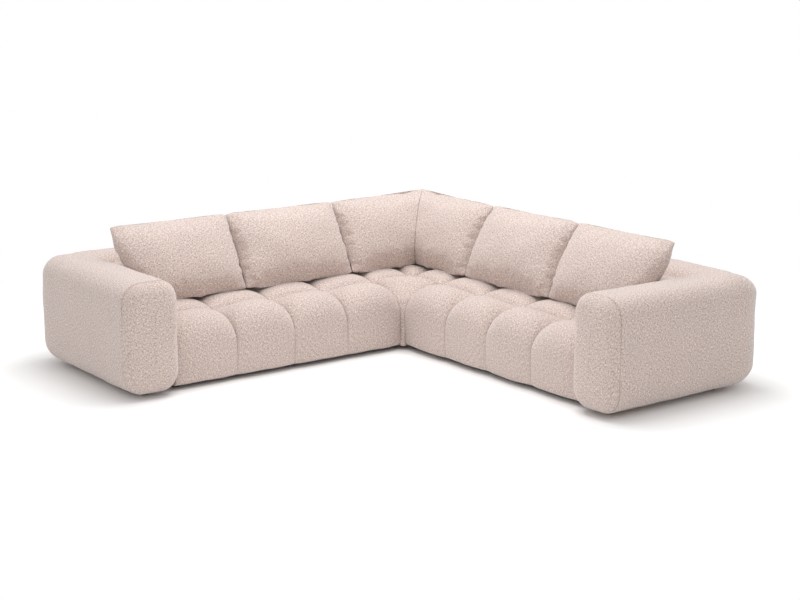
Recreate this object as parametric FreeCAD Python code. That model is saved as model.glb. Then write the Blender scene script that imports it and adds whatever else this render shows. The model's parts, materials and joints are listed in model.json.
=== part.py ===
import FreeCAD, Part
import os
from math import cos, radians, sin, sqrt

# Corner sofa: two equal wings that meet in a corner, each with a padded log arm, a log back rail,
# a channelled seat and three loose back cushions. Millimetres, +Z up, back corner towards +X +Y.
# Everything is laid out from the inner corner, where the two seat fronts meet at (0, 0). The left
# wing runs along -X and the right wing is its mirror image across the plane X = Y. A last move puts
# the origin at the centre of the footprint, on the floor.

V = FreeCAD.Vector

# Overall sizes
seat_run = 1492.0            # inner corner to an arm's inner face
arm_width = 322.0
arm_top = 620.0
rail_top = 606.0
underside = 24.0             # cloth under the sofa, above the floor
back_plane = 1062.0          # seat front to the back of the rail
rail_depth = 322.0
rail_reach = 150.0           # rail runs on behind the arm's rounded end
arm_overhang = 88.0          # arm's front ahead of the seat front

# Roundings of the padded logs
log_radius = 112.0           # long edges of arms and rails
rail_low_radius = 91.0
arm_front_radius = 77.0
arm_end_radius = 215.0       # an arm's back end narrows like a bullet
arm_end_turns = (0.0, 20.0, 38.0, 52.0, 63.0, 72.0)
arm_end_lead = 20.0
arm_end_corner = 3.0
rail_end_radius = 85.0
corner_radius = 200.0        # outer upright edge of the corner rail

# Fabric, clearances and seams
cover = 3.0
gap = 0.3
seam_gap = 1.0
arm_seam = 54.0              # front panel's seam behind the arm's front

# Seat channels: a front row wraps the front edge, a second row lies behind the cross seam
corner_seam = 20.0
channel_shares = (0.2618, 0.5003, 0.7462)   # of the seat's run
cross_seam = 248.0
channel_front = 47.0         # inside of the front padding
channel_floor = 262.0        # inside of the top padding
pad_back = 565.0

# Front channel section: first value in a seam, second value added at the middle of a channel
roll_y = (113.0, 5.0)
roll_z = (190.0, 60.0)
roll_radius = (113.0, 30.0)
roll_turn = 16.0             # degrees of the roll left out in a seam
brow_inset = 16.0            # last bit of the roll, which dives into the cross seam
brow_z = (338.0, 40.0)
cross_z = (342.0, 23.0)
toe_y = (2.0, -12.0)
toe_radius = 28.0
across = ((0.0, 0.0), (0.06, 0.475), (0.17, 0.751), (0.33, 0.94), (0.5, 1.0),
          (0.67, 0.94), (0.83, 0.751), (0.94, 0.475), (1.0, 0.0))

# Second row: heights in a seam and at the middle of a pad, at stations behind the seat front
pad_ys = (272.0, 318.0, 375.0, 437.0)
pad_seam_zs = (346.0, 353.0, 358.0, 358.0, 350.0)
pad_dome_zs = (381.0, 394.0, 398.0, 396.0, 385.0)
rear_across = ((0.0, 0.0), (0.1, 0.75), (0.24, 1.0), (0.4, 0.8), (0.6, 0.65), (1.0, 0.5))

# Tuft of the inner corner: heights of its middle line at stations X + Y
tuft_stations = ((-20.0, 192.0), (0.0, 258.0), (60.0, 318.0), (120.0, 355.0), (180.0, 382.0),
                 (228.0, 393.0), (300.0, 390.0), (380.0, 378.0), (440.0, 365.0), (480.0, 354.0))
tuft_least = 1.0

# Crown of a pillow: shoulders of tighter arcs beside one flat arc
pillow_shoulder = 0.16
pillow_lift = 0.8

# Inner back pad
back_pad_front = 566.0
back_pad_top = 573.0
back_pad_radius = 50.0

# Timber
board = 20.0
panel = 12.0
cloth = 1.2
board_top = 190.0
cross_board_top = 130.0
corner_block = 50.0          # carries a foot in a frame's corner
arm_frame_width = 110.0
arm_frame_front = 98.0       # behind the arm's front
arm_frame_back = 222.0       # ahead of the back plane
log_frame_top = 490.0
rail_frame_depth = 130.0
rail_pad = 90.0              # padding in front of the rail's frame

# Springs
wire_radius = 1.9
spring_turn = 17.0
spring_half = 24.0
spring_lift = 2.8            # wire's centre above the boards
spring_pitch = 145.0
corner_springs_from = 150.0
corner_spring_count = 4
clip_width = 24.0
clip_length = 16.0
clip_height = 6.2

# Bolts
bolt_radius = 4.0
bolt_head = 7.5
bolt_head_height = 5.0
washer_radius = 10.0
washer = 1.6
bolt_spare = 4.0
bolt_low = 80.0
bolt_high = 150.0
bolt_inset = 110.0           # from a seat frame's ends

# Feet
foot_radius = 25.0
foot_low_radius = 21.0

# Loose back cushions, measured in their seam plane
cushion_lean = 29.2
cushion_height = 455.0
cushion_seam_y = 375.0
cushion_seam_z = 400.5
cushion_half = 100.0
cushion_edge = 3.0
cushion_between = 3.0
cushion_share = 0.55         # of the seat's run, from the inner corner to the arm cushion
cushion_corner_side = 91.5
cushion_arm_low = 6.0        # foot stays this far inside the arm's inner face
cushion_arm_high = 49.0      # head leans out this far over the arm
cushion_full = 730.0
cushion_draw = 1.5
cushion_rows = ((0.0, 0.0), (0.1, 0.54), (0.28, 0.87), (0.5, 1.0), (0.72, 0.88), (0.9, 0.55), (1.0, 0.0))
cushion_arm_shift = (0.0, 0.0, 0.0, 0.62, 1.05, 1.02, 1.0)
cushion_wall = 14.0          # seam allowance round the filling
filling_slack = 0.97
mitre_gap = 0.5

frame_low = underside + cloth
rail_front = back_plane - rail_depth
frame_front = channel_front + gap
frame_back = rail_front - gap
spring_z = board_top + spring_lift
clip_top = board_top + clip_height
foam_low = clip_top + gap
foot_inset = board + corner_block / 2.0
far = 2.0 * seat_run         # reach of cutting blocks, past any part


def block(x0, x1, y0, y1, z0, z1):
    return Part.makeBox(x1 - x0, y1 - y0, z1 - z0, V(x0, y0, z0))


def cylinder(point, axis, radius, length):
    return Part.makeCylinder(radius, length, point, axis)


def edges_on(shape, axis, value):
    """Edges that lie in the plane axis = value."""
    found = []
    for edge in shape.Edges:
        first, last = edge.ParameterRange
        points = [edge.valueAt(first + t * (last - first)) for t in (0.0, 0.5, 1.0)]
        if all(abs(getattr(p, axis) - value) < 0.01 for p in points):
            found.append(edge)
    return found


def edges_on_both(shape, axis_a, value_a, axis_b, value_b):
    second = edges_on(shape, axis_b, value_b)
    return [e for e in edges_on(shape, axis_a, value_a) if any(e.isSame(s) for s in second)]


def mirrored(shapes):
    """The right wing's copies of the left wing's shapes."""
    return [s.mirror(V(0, 0, 0), V(1, -1, 0)) for s in shapes]


def cut_all(shapes, tools):
    result = []
    for shape in shapes:
        near = [t for t in tools if shape.BoundBox.intersect(t.BoundBox)]
        result.append(shape.cut(near) if near else shape)
    return result


def mix(pair, b):
    return pair[0] + b * pair[1]


def tangent_arc(start, end, centre):
    """Arc from start to end that leaves end along the circle about centre; 2-D points."""
    nx, ny = centre[0] - end[0], centre[1] - end[1]
    size = sqrt(nx * nx + ny * ny)
    nx, ny = nx / size, ny / size
    dx, dy = start[0] - end[0], start[1] - end[1]
    radius = (dx * dx + dy * dy) / (2.0 * (nx * dx + ny * dy))
    cx, cy = end[0] + radius * nx, end[1] + radius * ny
    mx, my = (start[0] + end[0]) / 2.0 - cx, (start[1] + end[1]) / 2.0 - cy
    size = sqrt(mx * mx + my * my)
    return ("arc", start, (cx + abs(radius) * mx / size, cy + abs(radius) * my / size), end)


def arc_centre(arc):
    """Centre of an ("arc", a, through, b) step."""
    (ax, ay), (bx, by), (cx, cy) = arc[1:]
    d = 2.0 * (ax * (by - cy) + bx * (cy - ay) + cx * (ay - by))
    a2, b2, c2 = ax * ax + ay * ay, bx * bx + by * by, cx * cx + cy * cy
    x = (a2 * (by - cy) + b2 * (cy - ay) + c2 * (ay - by)) / d
    y = (a2 * (cx - bx) + b2 * (ax - cx) + c2 * (bx - ax)) / d
    return x, y


def turned(arc):
    kind, start, middle, end = arc
    return (kind, end, middle, start)


def pillow_curve(a, b, height, side):
    """Three tangent arcs from a to b on the line v = const; height is towards side (+1 or -1)."""
    width = b[0] - a[0]
    s = (a[0] + pillow_shoulder * width, a[1] + side * pillow_lift * height)
    t = (b[0] - pillow_shoulder * width, s[1])
    half, sag = (0.5 - pillow_shoulder) * abs(width), (1.0 - pillow_lift) * height
    radius = (half * half + sag * sag) / (2.0 * sag)
    crown = ((a[0] + b[0]) / 2.0, a[1] + side * height)
    centre = (crown[0], crown[1] - side * radius)
    return [tangent_arc(a, s, centre), ("arc", s, crown, t), turned(tangent_arc(b, t, centre))]


def wire(steps, place):
    """Closed wire of ("line", a, b) and ("arc", a, through, b) steps in a plane given by place."""
    edges = []
    for step in steps:
        points = [place(*p) for p in step[1:]]
        if step[0] == "line":
            edges.append(Part.LineSegment(*points).toShape())
        else:
            edges.append(Part.Arc(*points).toShape())
    return Part.Wire(edges)


def loft(wires, ruled=False):
    return Part.makeLoft(wires, True, ruled)


# Padded logs

def rounded_frame(x0, x1, z0, z1, radius, y):
    """Wire of a rounded rectangle in the plane Y = y."""
    q = radius * (1.0 - cos(radians(45)))
    steps = [
        ("line", (x0 + radius, z0), (x1 - radius, z0)),
        ("arc", (x1 - radius, z0), (x1 - q, z0 + q), (x1, z0 + radius)),
        ("line", (x1, z0 + radius), (x1, z1 - radius)),
        ("arc", (x1, z1 - radius), (x1 - q, z1 - q), (x1 - radius, z1)),
        ("line", (x1 - radius, z1), (x0 + radius, z1)),
        ("arc", (x0 + radius, z1), (x0 + q, z1 - q), (x0, z1 - radius)),
        ("line", (x0, z1 - radius), (x0, z0 + radius)),
        ("arc", (x0, z0 + radius), (x0 + q, z0 + q), (x0 + radius, z0)),
    ]
    return wire(steps, lambda x, z: V(x, y, z))


def arm_parts(inset):
    """Straight part and tapering back end of an arm."""
    x0, x1 = -(seat_run + arm_width) + inset, -seat_run - inset
    y0, y1 = -arm_overhang + inset, back_plane - inset
    z0, z1 = underside + inset, arm_top - inset
    bend = arm_end_radius - inset
    turn = log_radius - inset
    split = y1 - bend - arm_end_lead
    form = block(x0, x1, y0, split, z0, z1)
    ends = edges_on(form, "y", y0) + edges_on(form, "y", split)
    long_edges = [e for e in form.Edges if not any(e.isSame(f) for f in ends)]
    form = form.makeFillet(turn, long_edges)
    form = form.makeFillet(arm_front_radius - inset, edges_on(form, "y", y0))
    wires = [rounded_frame(x0, x1, z0, z1, turn, split)]
    for angle in arm_end_turns:
        s = bend * (1.0 - cos(radians(angle)))
        y = y1 - bend * (1.0 - sin(radians(angle)))
        wires.append(rounded_frame(x0 + s, x1 - s, z0 + s, z1 - s, max(turn - s, arm_end_corner), y))
    return [form, loft(wires)]


def arm_form(inset):
    straight, end = arm_parts(inset)
    return straight.fuse(end)


def rail_form(x1, inset):
    """Wing rail from x1 to behind the arm's end, before the arm is cut out of it."""
    x0 = -seat_run - rail_reach + inset
    y0, y1 = rail_front + inset, back_plane - inset
    z0, z1 = underside + inset, rail_top - inset
    form = block(x0, x1, y0, y1, z0, z1)
    top = edges_on_both(form, "y", y0, "z", z1) + edges_on_both(form, "y", y1, "z", z1)
    form = form.makeFillet(log_radius - inset, top)
    form = form.makeFillet(rail_low_radius - inset, edges_on_both(form, "y", y1, "z", z0))
    low = edges_on(form, "z", z0)
    end = [e for e in edges_on(form, "x", x0) if not any(e.isSame(f) for f in low)]
    return form.makeFillet(rail_end_radius - inset, end)


def corner_plan(inner, outer, end):
    points = [(end, inner), (inner, inner), (inner, end), (outer, end), (outer, outer), (end, outer)]
    corners = [V(x, y, 0) for x, y in points]
    return Part.Face(Part.makePolygon(corners + [corners[0]]))


def corner_rail_form(inset):
    inner, outer, end = rail_front + inset, back_plane - inset, gap - corner_seam
    z0, z1 = underside + inset, rail_top - inset
    plan = corner_plan(inner, outer, end)
    plan.translate(V(0, 0, z0))
    form = plan.extrude(V(0, 0, z1 - z0))
    form = form.makeFillet(corner_radius - inset, edges_on_both(form, "x", outer, "y", outer))
    ends = edges_on(form, "x", end) + edges_on(form, "y", end)
    top = [e for e in edges_on(form, "z", z1) if not any(e.isSame(f) for f in ends)]
    form = form.makeFillet(log_radius - inset, top)
    low = []
    for edge in edges_on(form, "z", z0):
        middle = edge.valueAt(sum(edge.ParameterRange) / 2.0)
        if max(middle.x, middle.y) > inner + 1.0 and not any(edge.isSame(f) for f in ends):
            if min(abs(middle.x - end), abs(middle.y - end)) > 0.01:
                low.append(edge)
    return form.makeFillet(rail_low_radius - inset, low)


# Seat padding

def channel_steps(b):
    """Section of a front channel with bulge share b, as (y, z) steps."""
    cy, cz, r = mix(roll_y, b), mix(roll_z, b), mix(roll_radius, b)
    turn = radians(roll_turn * (1.0 - b))
    front = (cy - r, cz)
    crest = (cy - r * sin(turn), cz + r * cos(turn))
    half = (radians(90) + turn) / 2.0
    shoulder = (cy - r * sin(half), cz + r * cos(half))
    top_arc = tangent_arc((cross_seam - brow_inset, mix(brow_z, b)), crest, (cy, cz))
    end = (cross_seam - gap, mix(cross_z, b))
    lip = tangent_arc(end, top_arc[1], arc_centre(top_arc))
    toe = (mix(toe_y, b), underside + toe_radius)
    q = toe_radius * (1.0 - cos(radians(45)))
    return [
        ("line", (channel_front, underside), (toe[0] + toe_radius, underside)),
        ("arc", (toe[0] + toe_radius, underside), (toe[0] + q, underside + q), toe),
        tangent_arc(toe, front, (cy, cz)),
        ("arc", front, shoulder, crest),
        turned(top_arc),
        turned(lip),
        ("line", end, (end[0], channel_floor)),
        ("line", (end[0], channel_floor), (channel_front, channel_floor)),
        ("line", (channel_front, channel_floor), (channel_front, underside)),
    ]


def front_channel(x0, x1):
    wires = []
    for share, b in across:
        x = x0 + share * (x1 - x0)
        wires.append(wire(channel_steps(b), lambda y, z, x=x: V(x, y, z)))
    return loft(wires)


def pad_steps(b):
    """Section of a second row pad with bulge share b, as (y, z) steps."""
    ys = (cross_seam + gap,) + pad_ys + (pad_back,)
    zs = [mix(cross_z, b)] + [low + b * (high - low) for low, high in zip(pad_seam_zs, pad_dome_zs)]
    points = list(zip(ys, zs))
    floor = channel_floor + gap
    return [
        ("arc", points[0], points[1], points[2]),
        ("arc", points[2], points[3], points[4]),
        ("line", points[4], points[5]),
        ("line", points[5], (ys[5], floor)),
        ("line", (ys[5], floor), (ys[0], floor)),
        ("line", (ys[0], floor), points[0]),
    ]


def seat_pad(x0, x1, shares=across):
    wires = []
    for share, b in shares:
        x = x0 + share * (x1 - x0)
        wires.append(wire(pad_steps(b), lambda y, z, x=x: V(x, y, z)))
    return loft(wires)


def share_across(share):
    """Bulge share at a place across a channel."""
    for (s0, b0), (s1, b1) in zip(across[:-1], across[1:]):
        if s0 <= share <= s1:
            return b0 + (b1 - b0) * (share - s0) / (s1 - s0)
    return 0.0


def seam_height(y):
    """Height of a channel's seam at y behind the seat front."""
    cy, cz, r = roll_y[0], roll_z[0], roll_radius[0]
    crest_y = cy - r * sin(radians(roll_turn))
    if y < crest_y:
        return cz + sqrt(max(r * r - (cy - y) ** 2, 0.0))
    crest_z = cz + r * cos(radians(roll_turn))
    return crest_z + (cross_z[0] - crest_z) * (y - crest_y) / (cross_seam - crest_y)


def inner_corner_pad():
    """The tuft where the two front rows meet: a dome that narrows down to an upright strip."""
    s = corner_seam - gap
    end = cross_seam - gap
    wires = []
    for c, top in tuft_stations:
        c = max(c, -s)
        half = min(c + 2.0 * s, 2.0 * end - c) / sqrt(2.0)
        if c < end - s:
            edge_z = seam_height(c + s)
        else:
            edge_z = mix(cross_z, share_across((c - end + s) / (end + s)))
        rise = max(top - edge_z, tuft_least)
        steps = pillow_curve((-half, edge_z), (half, edge_z), rise, 1)
        steps.append(("line", (half, edge_z), (half, underside)))
        steps.append(("line", (half, underside), (-half, underside)))
        steps.append(("line", (-half, underside), (-half, edge_z)))
        wires.append(wire(steps, lambda w, z, c=c: V((c + w * sqrt(2.0)) / 2, (c - w * sqrt(2.0)) / 2, z)))
    dome = loft(wires, ruled=True)
    inside_x = block(channel_front, cross_seam, -cross_seam, cross_seam, 0, channel_floor)
    inside_y = block(-cross_seam, cross_seam, channel_front, cross_seam, 0, channel_floor)
    return dome.cut([inside_x, inside_y])


def back_pad(x0, x1):
    form = block(x0, x1, back_pad_front, frame_back, channel_floor + gap, back_pad_top)
    return form.makeFillet(back_pad_radius, edges_on_both(form, "y", back_pad_front, "z", back_pad_top))


def corner_back_pad():
    plan = corner_plan(back_pad_front, frame_back, gap - corner_seam)
    plan.translate(V(0, 0, channel_floor + gap))
    form = plan.extrude(V(0, 0, back_pad_top - channel_floor - gap))
    top = []
    for edge in edges_on(form, "z", back_pad_top):
        middle = edge.valueAt(sum(edge.ParameterRange) / 2.0)
        if min(abs(middle.x - back_pad_front), abs(middle.y - back_pad_front)) < 0.01:
            top.append(edge)
    return form.makeFillet(back_pad_radius, top)


# Springs

def spring(x, y0, y1):
    """Zigzag spring of round wire from y0 to y1."""
    turn, half, z = spring_turn, spring_half, spring_z
    count = int((y1 - y0 - 4.0 * turn) / (2.0 * turn))
    lead = (y1 - y0 - 2.0 * turn * (count + 1)) / 2.0
    q = turn * (1.0 - cos(radians(45)))
    steps = [("line", (x, y0), (x, y0 + lead))]
    y = y0 + lead
    steps.append(("arc", (x, y), (x + q, y + turn - q), (x + turn, y + turn)))
    y += turn
    way, start = 1, x + turn
    for _ in range(count):
        end = x + way * half
        steps.append(("line", (start, y), (end, y)))
        steps.append(("arc", (end, y), (end + way * turn, y + turn), (end, y + 2.0 * turn)))
        y += 2.0 * turn
        start, way = end, -way
    end = x - way * turn
    steps.append(("line", (start, y), (end, y)))
    steps.append(("arc", (end, y), (x - way * q, y + q), (x, y + turn)))
    steps.append(("line", (x, y + turn), (x, y1)))
    path = wire(steps, lambda px, py: V(px, py, z))
    profile = Part.Wire(Part.makeCircle(wire_radius, V(x, y0, z), V(0, 1, 0)))
    return path.makePipeShell([profile], True, False)


def clip(x, y):
    half_width, half_length = clip_width / 2.0, clip_length / 2.0
    form = block(x - half_width, x + half_width, y - half_length, y + half_length, board_top, clip_top)
    return form.cut(cylinder(V(x, y - clip_length, spring_z), V(0, 1, 0), wire_radius + gap, 2 * clip_length))


def spring_set(xs, y0, y1):
    """Springs and clips from the board centred on y0 to the one centred on y1."""
    over = clip_length / 2.0 - 1.0
    first = spring(xs[0], y0 - over, y1 + over)
    springs = [first.translated(V(x - xs[0], 0, 0)) for x in xs]
    clips = [clip(x, y) for x in xs for y in (y0, y1)]
    return springs, clips


# Bolts

def hexagon(point, axis, size, height):
    side = V(0, 0, 1)
    other = axis.cross(side)
    corners = []
    for i in range(6):
        angle = radians(60 * i)
        corners.append(point + side * (size * cos(angle)) + other * (size * sin(angle)))
    return Part.Face(Part.makePolygon(corners + [corners[0]])).extrude(axis * height)


def bolt(point, axis, grip):
    """Bolt with washers and nut that grips from point along axis."""
    head = hexagon(point - axis * (washer + bolt_head_height), axis, bolt_head, bolt_head_height)
    under = cylinder(point - axis * washer, axis, washer_radius, washer)
    shank = cylinder(point - axis * washer, axis, bolt_radius, grip + 2 * washer + bolt_head_height + bolt_spare)
    over = cylinder(point + axis * grip, axis, washer_radius, washer)
    nut = hexagon(point + axis * (grip + washer), axis, bolt_head, bolt_head_height)
    return head.fuse([under, shank, over, nut]).removeSplitter()


def bolt_hole(point, axis, grip):
    return cylinder(point - axis * (gap * 2), axis, bolt_radius + gap, grip + gap * 4)


# Frames

def board_box(x0, x1, y0, y1, top):
    return block(x0, x1, y0, y1, frame_low, top)


def log_frame(x0, x1, y0, y1, posts):
    """Hollow box of two panels, top and bottom rails and posts, running along X."""
    solids = [board_box(x0, x1, y0, y0 + panel, log_frame_top), board_box(x0, x1, y1 - panel, y1, log_frame_top)]
    a, b = y0 + panel, y1 - panel
    solids.append(block(x0, x1, a, b, frame_low, frame_low + board))
    solids.append(block(x0, x1, a, b, log_frame_top - board, log_frame_top))
    for x in posts:
        solids.append(block(x - board / 2, x + board / 2, a, b, frame_low + board, log_frame_top - board))
    return solids


def foot_block(x, y):
    half = corner_block / 2.0
    return board_box(x - half, x + half, y - half, y + half, frame_low + board)


def foot(x, y):
    return Part.makeCone(foot_low_radius, foot_radius, frame_low, V(x, y, 0), V(0, 0, 1))


# Cushions

def cushion(low, high, inset, arm_side):
    """Pillow between X = low[0]..low[1] at its foot and high[0]..high[1] at its head."""
    lean = radians(cushion_lean)
    edge = cushion_edge / 2.0 if inset else cushion_edge
    wires = []
    for i, (share, full) in enumerate(cushion_rows):
        h = inset + share * (cushion_height - 2.0 * inset)
        part = h / cushion_height
        shift = cushion_arm_shift[i] if arm_side else part
        draw = inset + cushion_draw * 4.0 * part * (1.0 - part)
        x0 = low[0] + shift * (high[0] - low[0]) + draw
        x1 = low[1] + part * (high[1] - low[1]) - draw
        half = (cushion_half - cushion_edge) * full
        if inset:
            half = filling_slack * (half - cover - 1.0)
        half = max(half, 1.0)
        y = cushion_seam_y + h * sin(lean)
        z = cushion_seam_z + h * cos(lean)
        steps = pillow_curve((x0, edge), (x1, edge), half, 1)
        steps.append(("line", (x1, edge), (x1, -edge)))
        steps += pillow_curve((x1, -edge), (x0, -edge), half, -1)
        steps.append(("line", (x0, -edge), (x0, edge)))
        wires.append(wire(steps, lambda x, d, y=y, z=z: V(x, y - d * cos(lean), z + d * sin(lean))))
    return loft(wires)


def mitre(shape, back_off):
    """Keeps the side X < Y - back_off of a shape."""
    points = [(-far, -far + back_off), (far, far + back_off), (far, -far)]
    corners = [V(x, y, 0) for x, y in points]
    tool = Part.Face(Part.makePolygon(corners + [corners[0]])).extrude(V(0, 0, 2.0 * arm_top))
    return shape.cut(tool)


def cushion_pair(low, high, arm_side=False, mitred=False):
    outer = cushion(low, high, 0.0, arm_side)
    hollow = cushion(low, high, cushion_wall, arm_side)
    filling = cushion(low, high, cushion_wall + gap, arm_side)
    if mitred:
        outer = mitre(outer, mitre_gap)
        hollow = mitre(hollow, mitre_gap + cover)
        filling = mitre(filling, mitre_gap + cover + gap)
    return outer.cut(hollow), filling


def finish(name, shapes):
    move = (seat_run + arm_width - back_plane) / 2.0
    solids = []
    for shape in shapes:
        for solid in shape.Solids:
            solids.append(solid.translated(V(move, move, 0)))
    target = solids[0] if len(solids) == 1 else Part.makeCompound(solids)
    target.exportStep("parts/" + name + ".step")
    valid = all(s.isValid() for s in solids)
    volume = round(sum(s.Volume for s in solids) / 1e6, 3)
    print(name, len(solids), "solids", volume, "dm3", "valid" if valid else "NOT VALID")


def both(name, shapes):
    finish("left_" + name, shapes)
    finish("right_" + name, mirrored(shapes))


os.makedirs("parts", exist_ok=True)

wing_in = -corner_seam - gap
wing_out = -seat_run + gap
corner_in = -corner_seam + gap
seams = [-corner_seam] + [-s * seat_run for s in channel_shares] + [-seat_run]

# Bolts and the holes they pass through
along_x, along_y = V(1, 0, 0), V(0, 1, 0)
arm_frame_x1 = -seat_run - (arm_width - arm_frame_width) / 2.0
arm_frame_x0 = arm_frame_x1 - arm_frame_width
rail_frame_y0 = rail_front + rail_pad
rail_frame_y1 = rail_frame_y0 + rail_frame_depth
arm_grip = wing_out + board - (arm_frame_x1 - panel)
rail_grip = rail_frame_y0 + panel - (frame_back - board)
module_grip = 2 * board + 2 * gap
end_ys = (frame_front + bolt_inset, frame_back - bolt_inset)
middles = [(a + b) / 2.0 for a, b in zip(seams[:-1], seams[1:])]
arm_places = [(V(wing_out + board, y, z), -along_x, arm_grip) for y in end_ys for z in (bolt_low, bolt_high)]
rail_places = [(V(x, frame_back - board, bolt_high), along_y, rail_grip) for x in middles]
module_places = [(V(wing_in - board, y, bolt_low), along_x, module_grip) for y in end_ys]
corner_places = [(V(x, frame_back - board, bolt_high), along_y, rail_grip) for x in (0.2 * frame_back, 0.7 * frame_back)]
wing_holes = [bolt_hole(*p) for p in arm_places + rail_places + module_places]
corner_left_holes = [bolt_hole(*p) for p in corner_places + module_places]
corner_holes = corner_left_holes + mirrored(corner_left_holes)

both("frame_bolts", [bolt(*p) for p in arm_places + rail_places])
both("module_bolts", [bolt(*p) for p in module_places])
corner_bolts = [bolt(*p) for p in corner_places]
finish("corner_frame_bolts", corner_bolts + mirrored(corner_bolts))

# Arms
arm_y0, arm_y1 = arm_frame_front - arm_overhang, back_plane - arm_frame_back
arm_slot = block(arm_frame_x0 - gap, arm_frame_x1 + gap, arm_y0 - gap, arm_y1 + gap, 0, log_frame_top + gap)
arm_shell = arm_form(0.0).cut(arm_form(cover)).cut([arm_slot] + wing_holes)
arm_split = arm_seam - arm_overhang
both("arm_front_panel", [arm_shell.common(block(-far, 0, -far, arm_split - seam_gap / 2.0, 0, far))])
both("arm_cover", [arm_shell.common(block(-far, 0, arm_split + seam_gap / 2.0, far, 0, far))])
both("arm_foam", [arm_form(cover + gap).cut([arm_slot] + wing_holes)])
inner_x0, inner_x1 = arm_frame_x0 + panel, arm_frame_x1 - panel
arm_timber = [
    board_box(arm_frame_x0, inner_x0, arm_y0, arm_y1, log_frame_top),
    board_box(inner_x1, arm_frame_x1, arm_y0, arm_y1, log_frame_top),
    board_box(inner_x0, inner_x1, arm_y0, arm_y1, frame_low + board),
    block(inner_x0, inner_x1, arm_y0, arm_y1, log_frame_top - board, log_frame_top),
]
for y in (arm_y0, (arm_y0 + arm_y1 - board) / 2.0, arm_y1 - board):
    arm_timber.append(block(inner_x0, inner_x1, y, y + board, frame_low + board, log_frame_top - board))
both("arm_frame", cut_all(arm_timber, wing_holes))

# Wing rails
rail_slot = block(wing_out - gap, 0, rail_frame_y0 - gap, rail_frame_y1 + gap, 0, log_frame_top + gap)
rail_tools = [rail_slot] + arm_parts(-gap) + wing_holes
rail_shell = rail_form(wing_in, 0.0).cut(rail_form(0.0, cover))
both("rail_cover", [rail_shell.cut(rail_tools)])
both("rail_foam", [rail_form(wing_in, cover + gap).cut(rail_tools)])
rail_posts = [wing_out + board / 2.0] + seams[1:-1] + [wing_in - board / 2.0]
both("rail_frame", cut_all(log_frame(wing_out, wing_in, rail_frame_y0, rail_frame_y1, rail_posts), wing_holes))

# Wing seats
a, b = frame_front + board, frame_back - board
wing_feet = [(x, y) for x in (wing_out + foot_inset, wing_in - foot_inset)
             for y in (frame_front + foot_inset, frame_back - foot_inset)]
middle_feet = [(seams[2], y) for y in (frame_front + foot_inset, frame_back - foot_inset)]
wing_base = [
    board_box(wing_out, wing_in, frame_front, a, board_top),
    board_box(wing_out, wing_in, b, frame_back, board_top),
    board_box(wing_out, wing_out + board, a, b, board_top),
    board_box(wing_in - board, wing_in, a, b, board_top),
]
wing_base += [board_box(x - board / 2, x + board / 2, a, b, cross_board_top) for x in seams[1:-1]]
wing_base += [foot_block(x, y) for x, y in wing_feet]
both("base_frame", cut_all(wing_base, wing_holes))
spring_count = int((seat_run - corner_seam) / spring_pitch)
spring_start = wing_out + ((wing_in - wing_out) - (spring_count - 1) * spring_pitch) / 2.0
spring_xs = [spring_start + i * spring_pitch for i in range(spring_count)]
springs, clips = spring_set(spring_xs, frame_front + board / 2, frame_back - board / 2)
both("seat_springs", springs)
both("spring_clips", clips)
both("seat_foam", [block(wing_out, wing_in, frame_front, frame_back, foam_low, channel_floor - gap)])
spans = [(x0 + gap, x1 - gap) for x1, x0 in zip(seams[:-1], seams[1:])]
both("front_channels", [front_channel(x0, x1) for x0, x1 in spans])
both("seat_pads", [seat_pad(x0, x1) for x0, x1 in spans])
both("back_pad", [back_pad(wing_out, wing_in)])

arm_mid = (arm_frame_x0 + arm_frame_x1) / 2.0
log_feet = [(arm_mid, arm_y0 + foot_inset), (arm_mid, arm_y1 - foot_inset)]
rail_mid = (rail_frame_y0 + rail_frame_y1) / 2.0
log_feet += [(wing_out + foot_inset, rail_mid), (wing_in - foot_inset, rail_mid)]
both("feet", [foot(x, y) for x, y in wing_feet + middle_feet + log_feet])
wing_cloth = block(wing_out, wing_in, frame_front, frame_back, underside, frame_low)
cloth_holes = [cylinder(V(x, y, 0), V(0, 0, 1), foot_radius + gap, 2 * frame_low) for x, y in wing_feet + middle_feet]
both("dust_cloth", [wing_cloth.cut(cloth_holes)])

# Corner
corner_feet = [(frame_front + foot_inset, frame_front + foot_inset), (frame_back - foot_inset, corner_in + foot_inset),
               (corner_in + foot_inset, frame_back - foot_inset), (frame_back - foot_inset, frame_back - foot_inset)]
cross_x = frame_back / 2.0
boards = [
    board_box(corner_in, corner_in + board, frame_front, frame_back, board_top),
    board_box(corner_in + board, a, frame_front, a, board_top),
    board_box(frame_front, frame_back, corner_in, corner_in + board, board_top),
    board_box(frame_front, a, corner_in + board, frame_front, board_top),
    board_box(corner_in + board, frame_back, b, frame_back, board_top),
    board_box(b, frame_back, corner_in + board, b, board_top),
    board_box(cross_x - board / 2, cross_x + board / 2, corner_in + board, b, cross_board_top),
]
boards += [foot_block(x, y) for x, y in corner_feet]
finish("corner_base_frame", cut_all(boards, corner_holes))
corner_xs = [corner_springs_from + i * spring_pitch for i in range(corner_spring_count)]
corner_springs, corner_clips = spring_set(corner_xs, corner_in + board / 2, frame_back - board / 2)
finish("corner_springs", corner_springs)
finish("corner_spring_clips", corner_clips)
column = block(-far, frame_front, -far, frame_front, 0, far)
corner_foam = block(corner_in, frame_back, corner_in, frame_back, foam_low, channel_floor - gap)
finish("corner_seat_foam", [corner_foam.cut(column)])
side_pad = seat_pad(corner_in, cross_seam - gap)
rear_pad = seat_pad(cross_seam + gap, pad_back, rear_across)
finish("corner_seat_pads", [inner_corner_pad(), side_pad, rear_pad] + mirrored([side_pad]))
finish("corner_back_pad", [corner_back_pad()])

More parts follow.
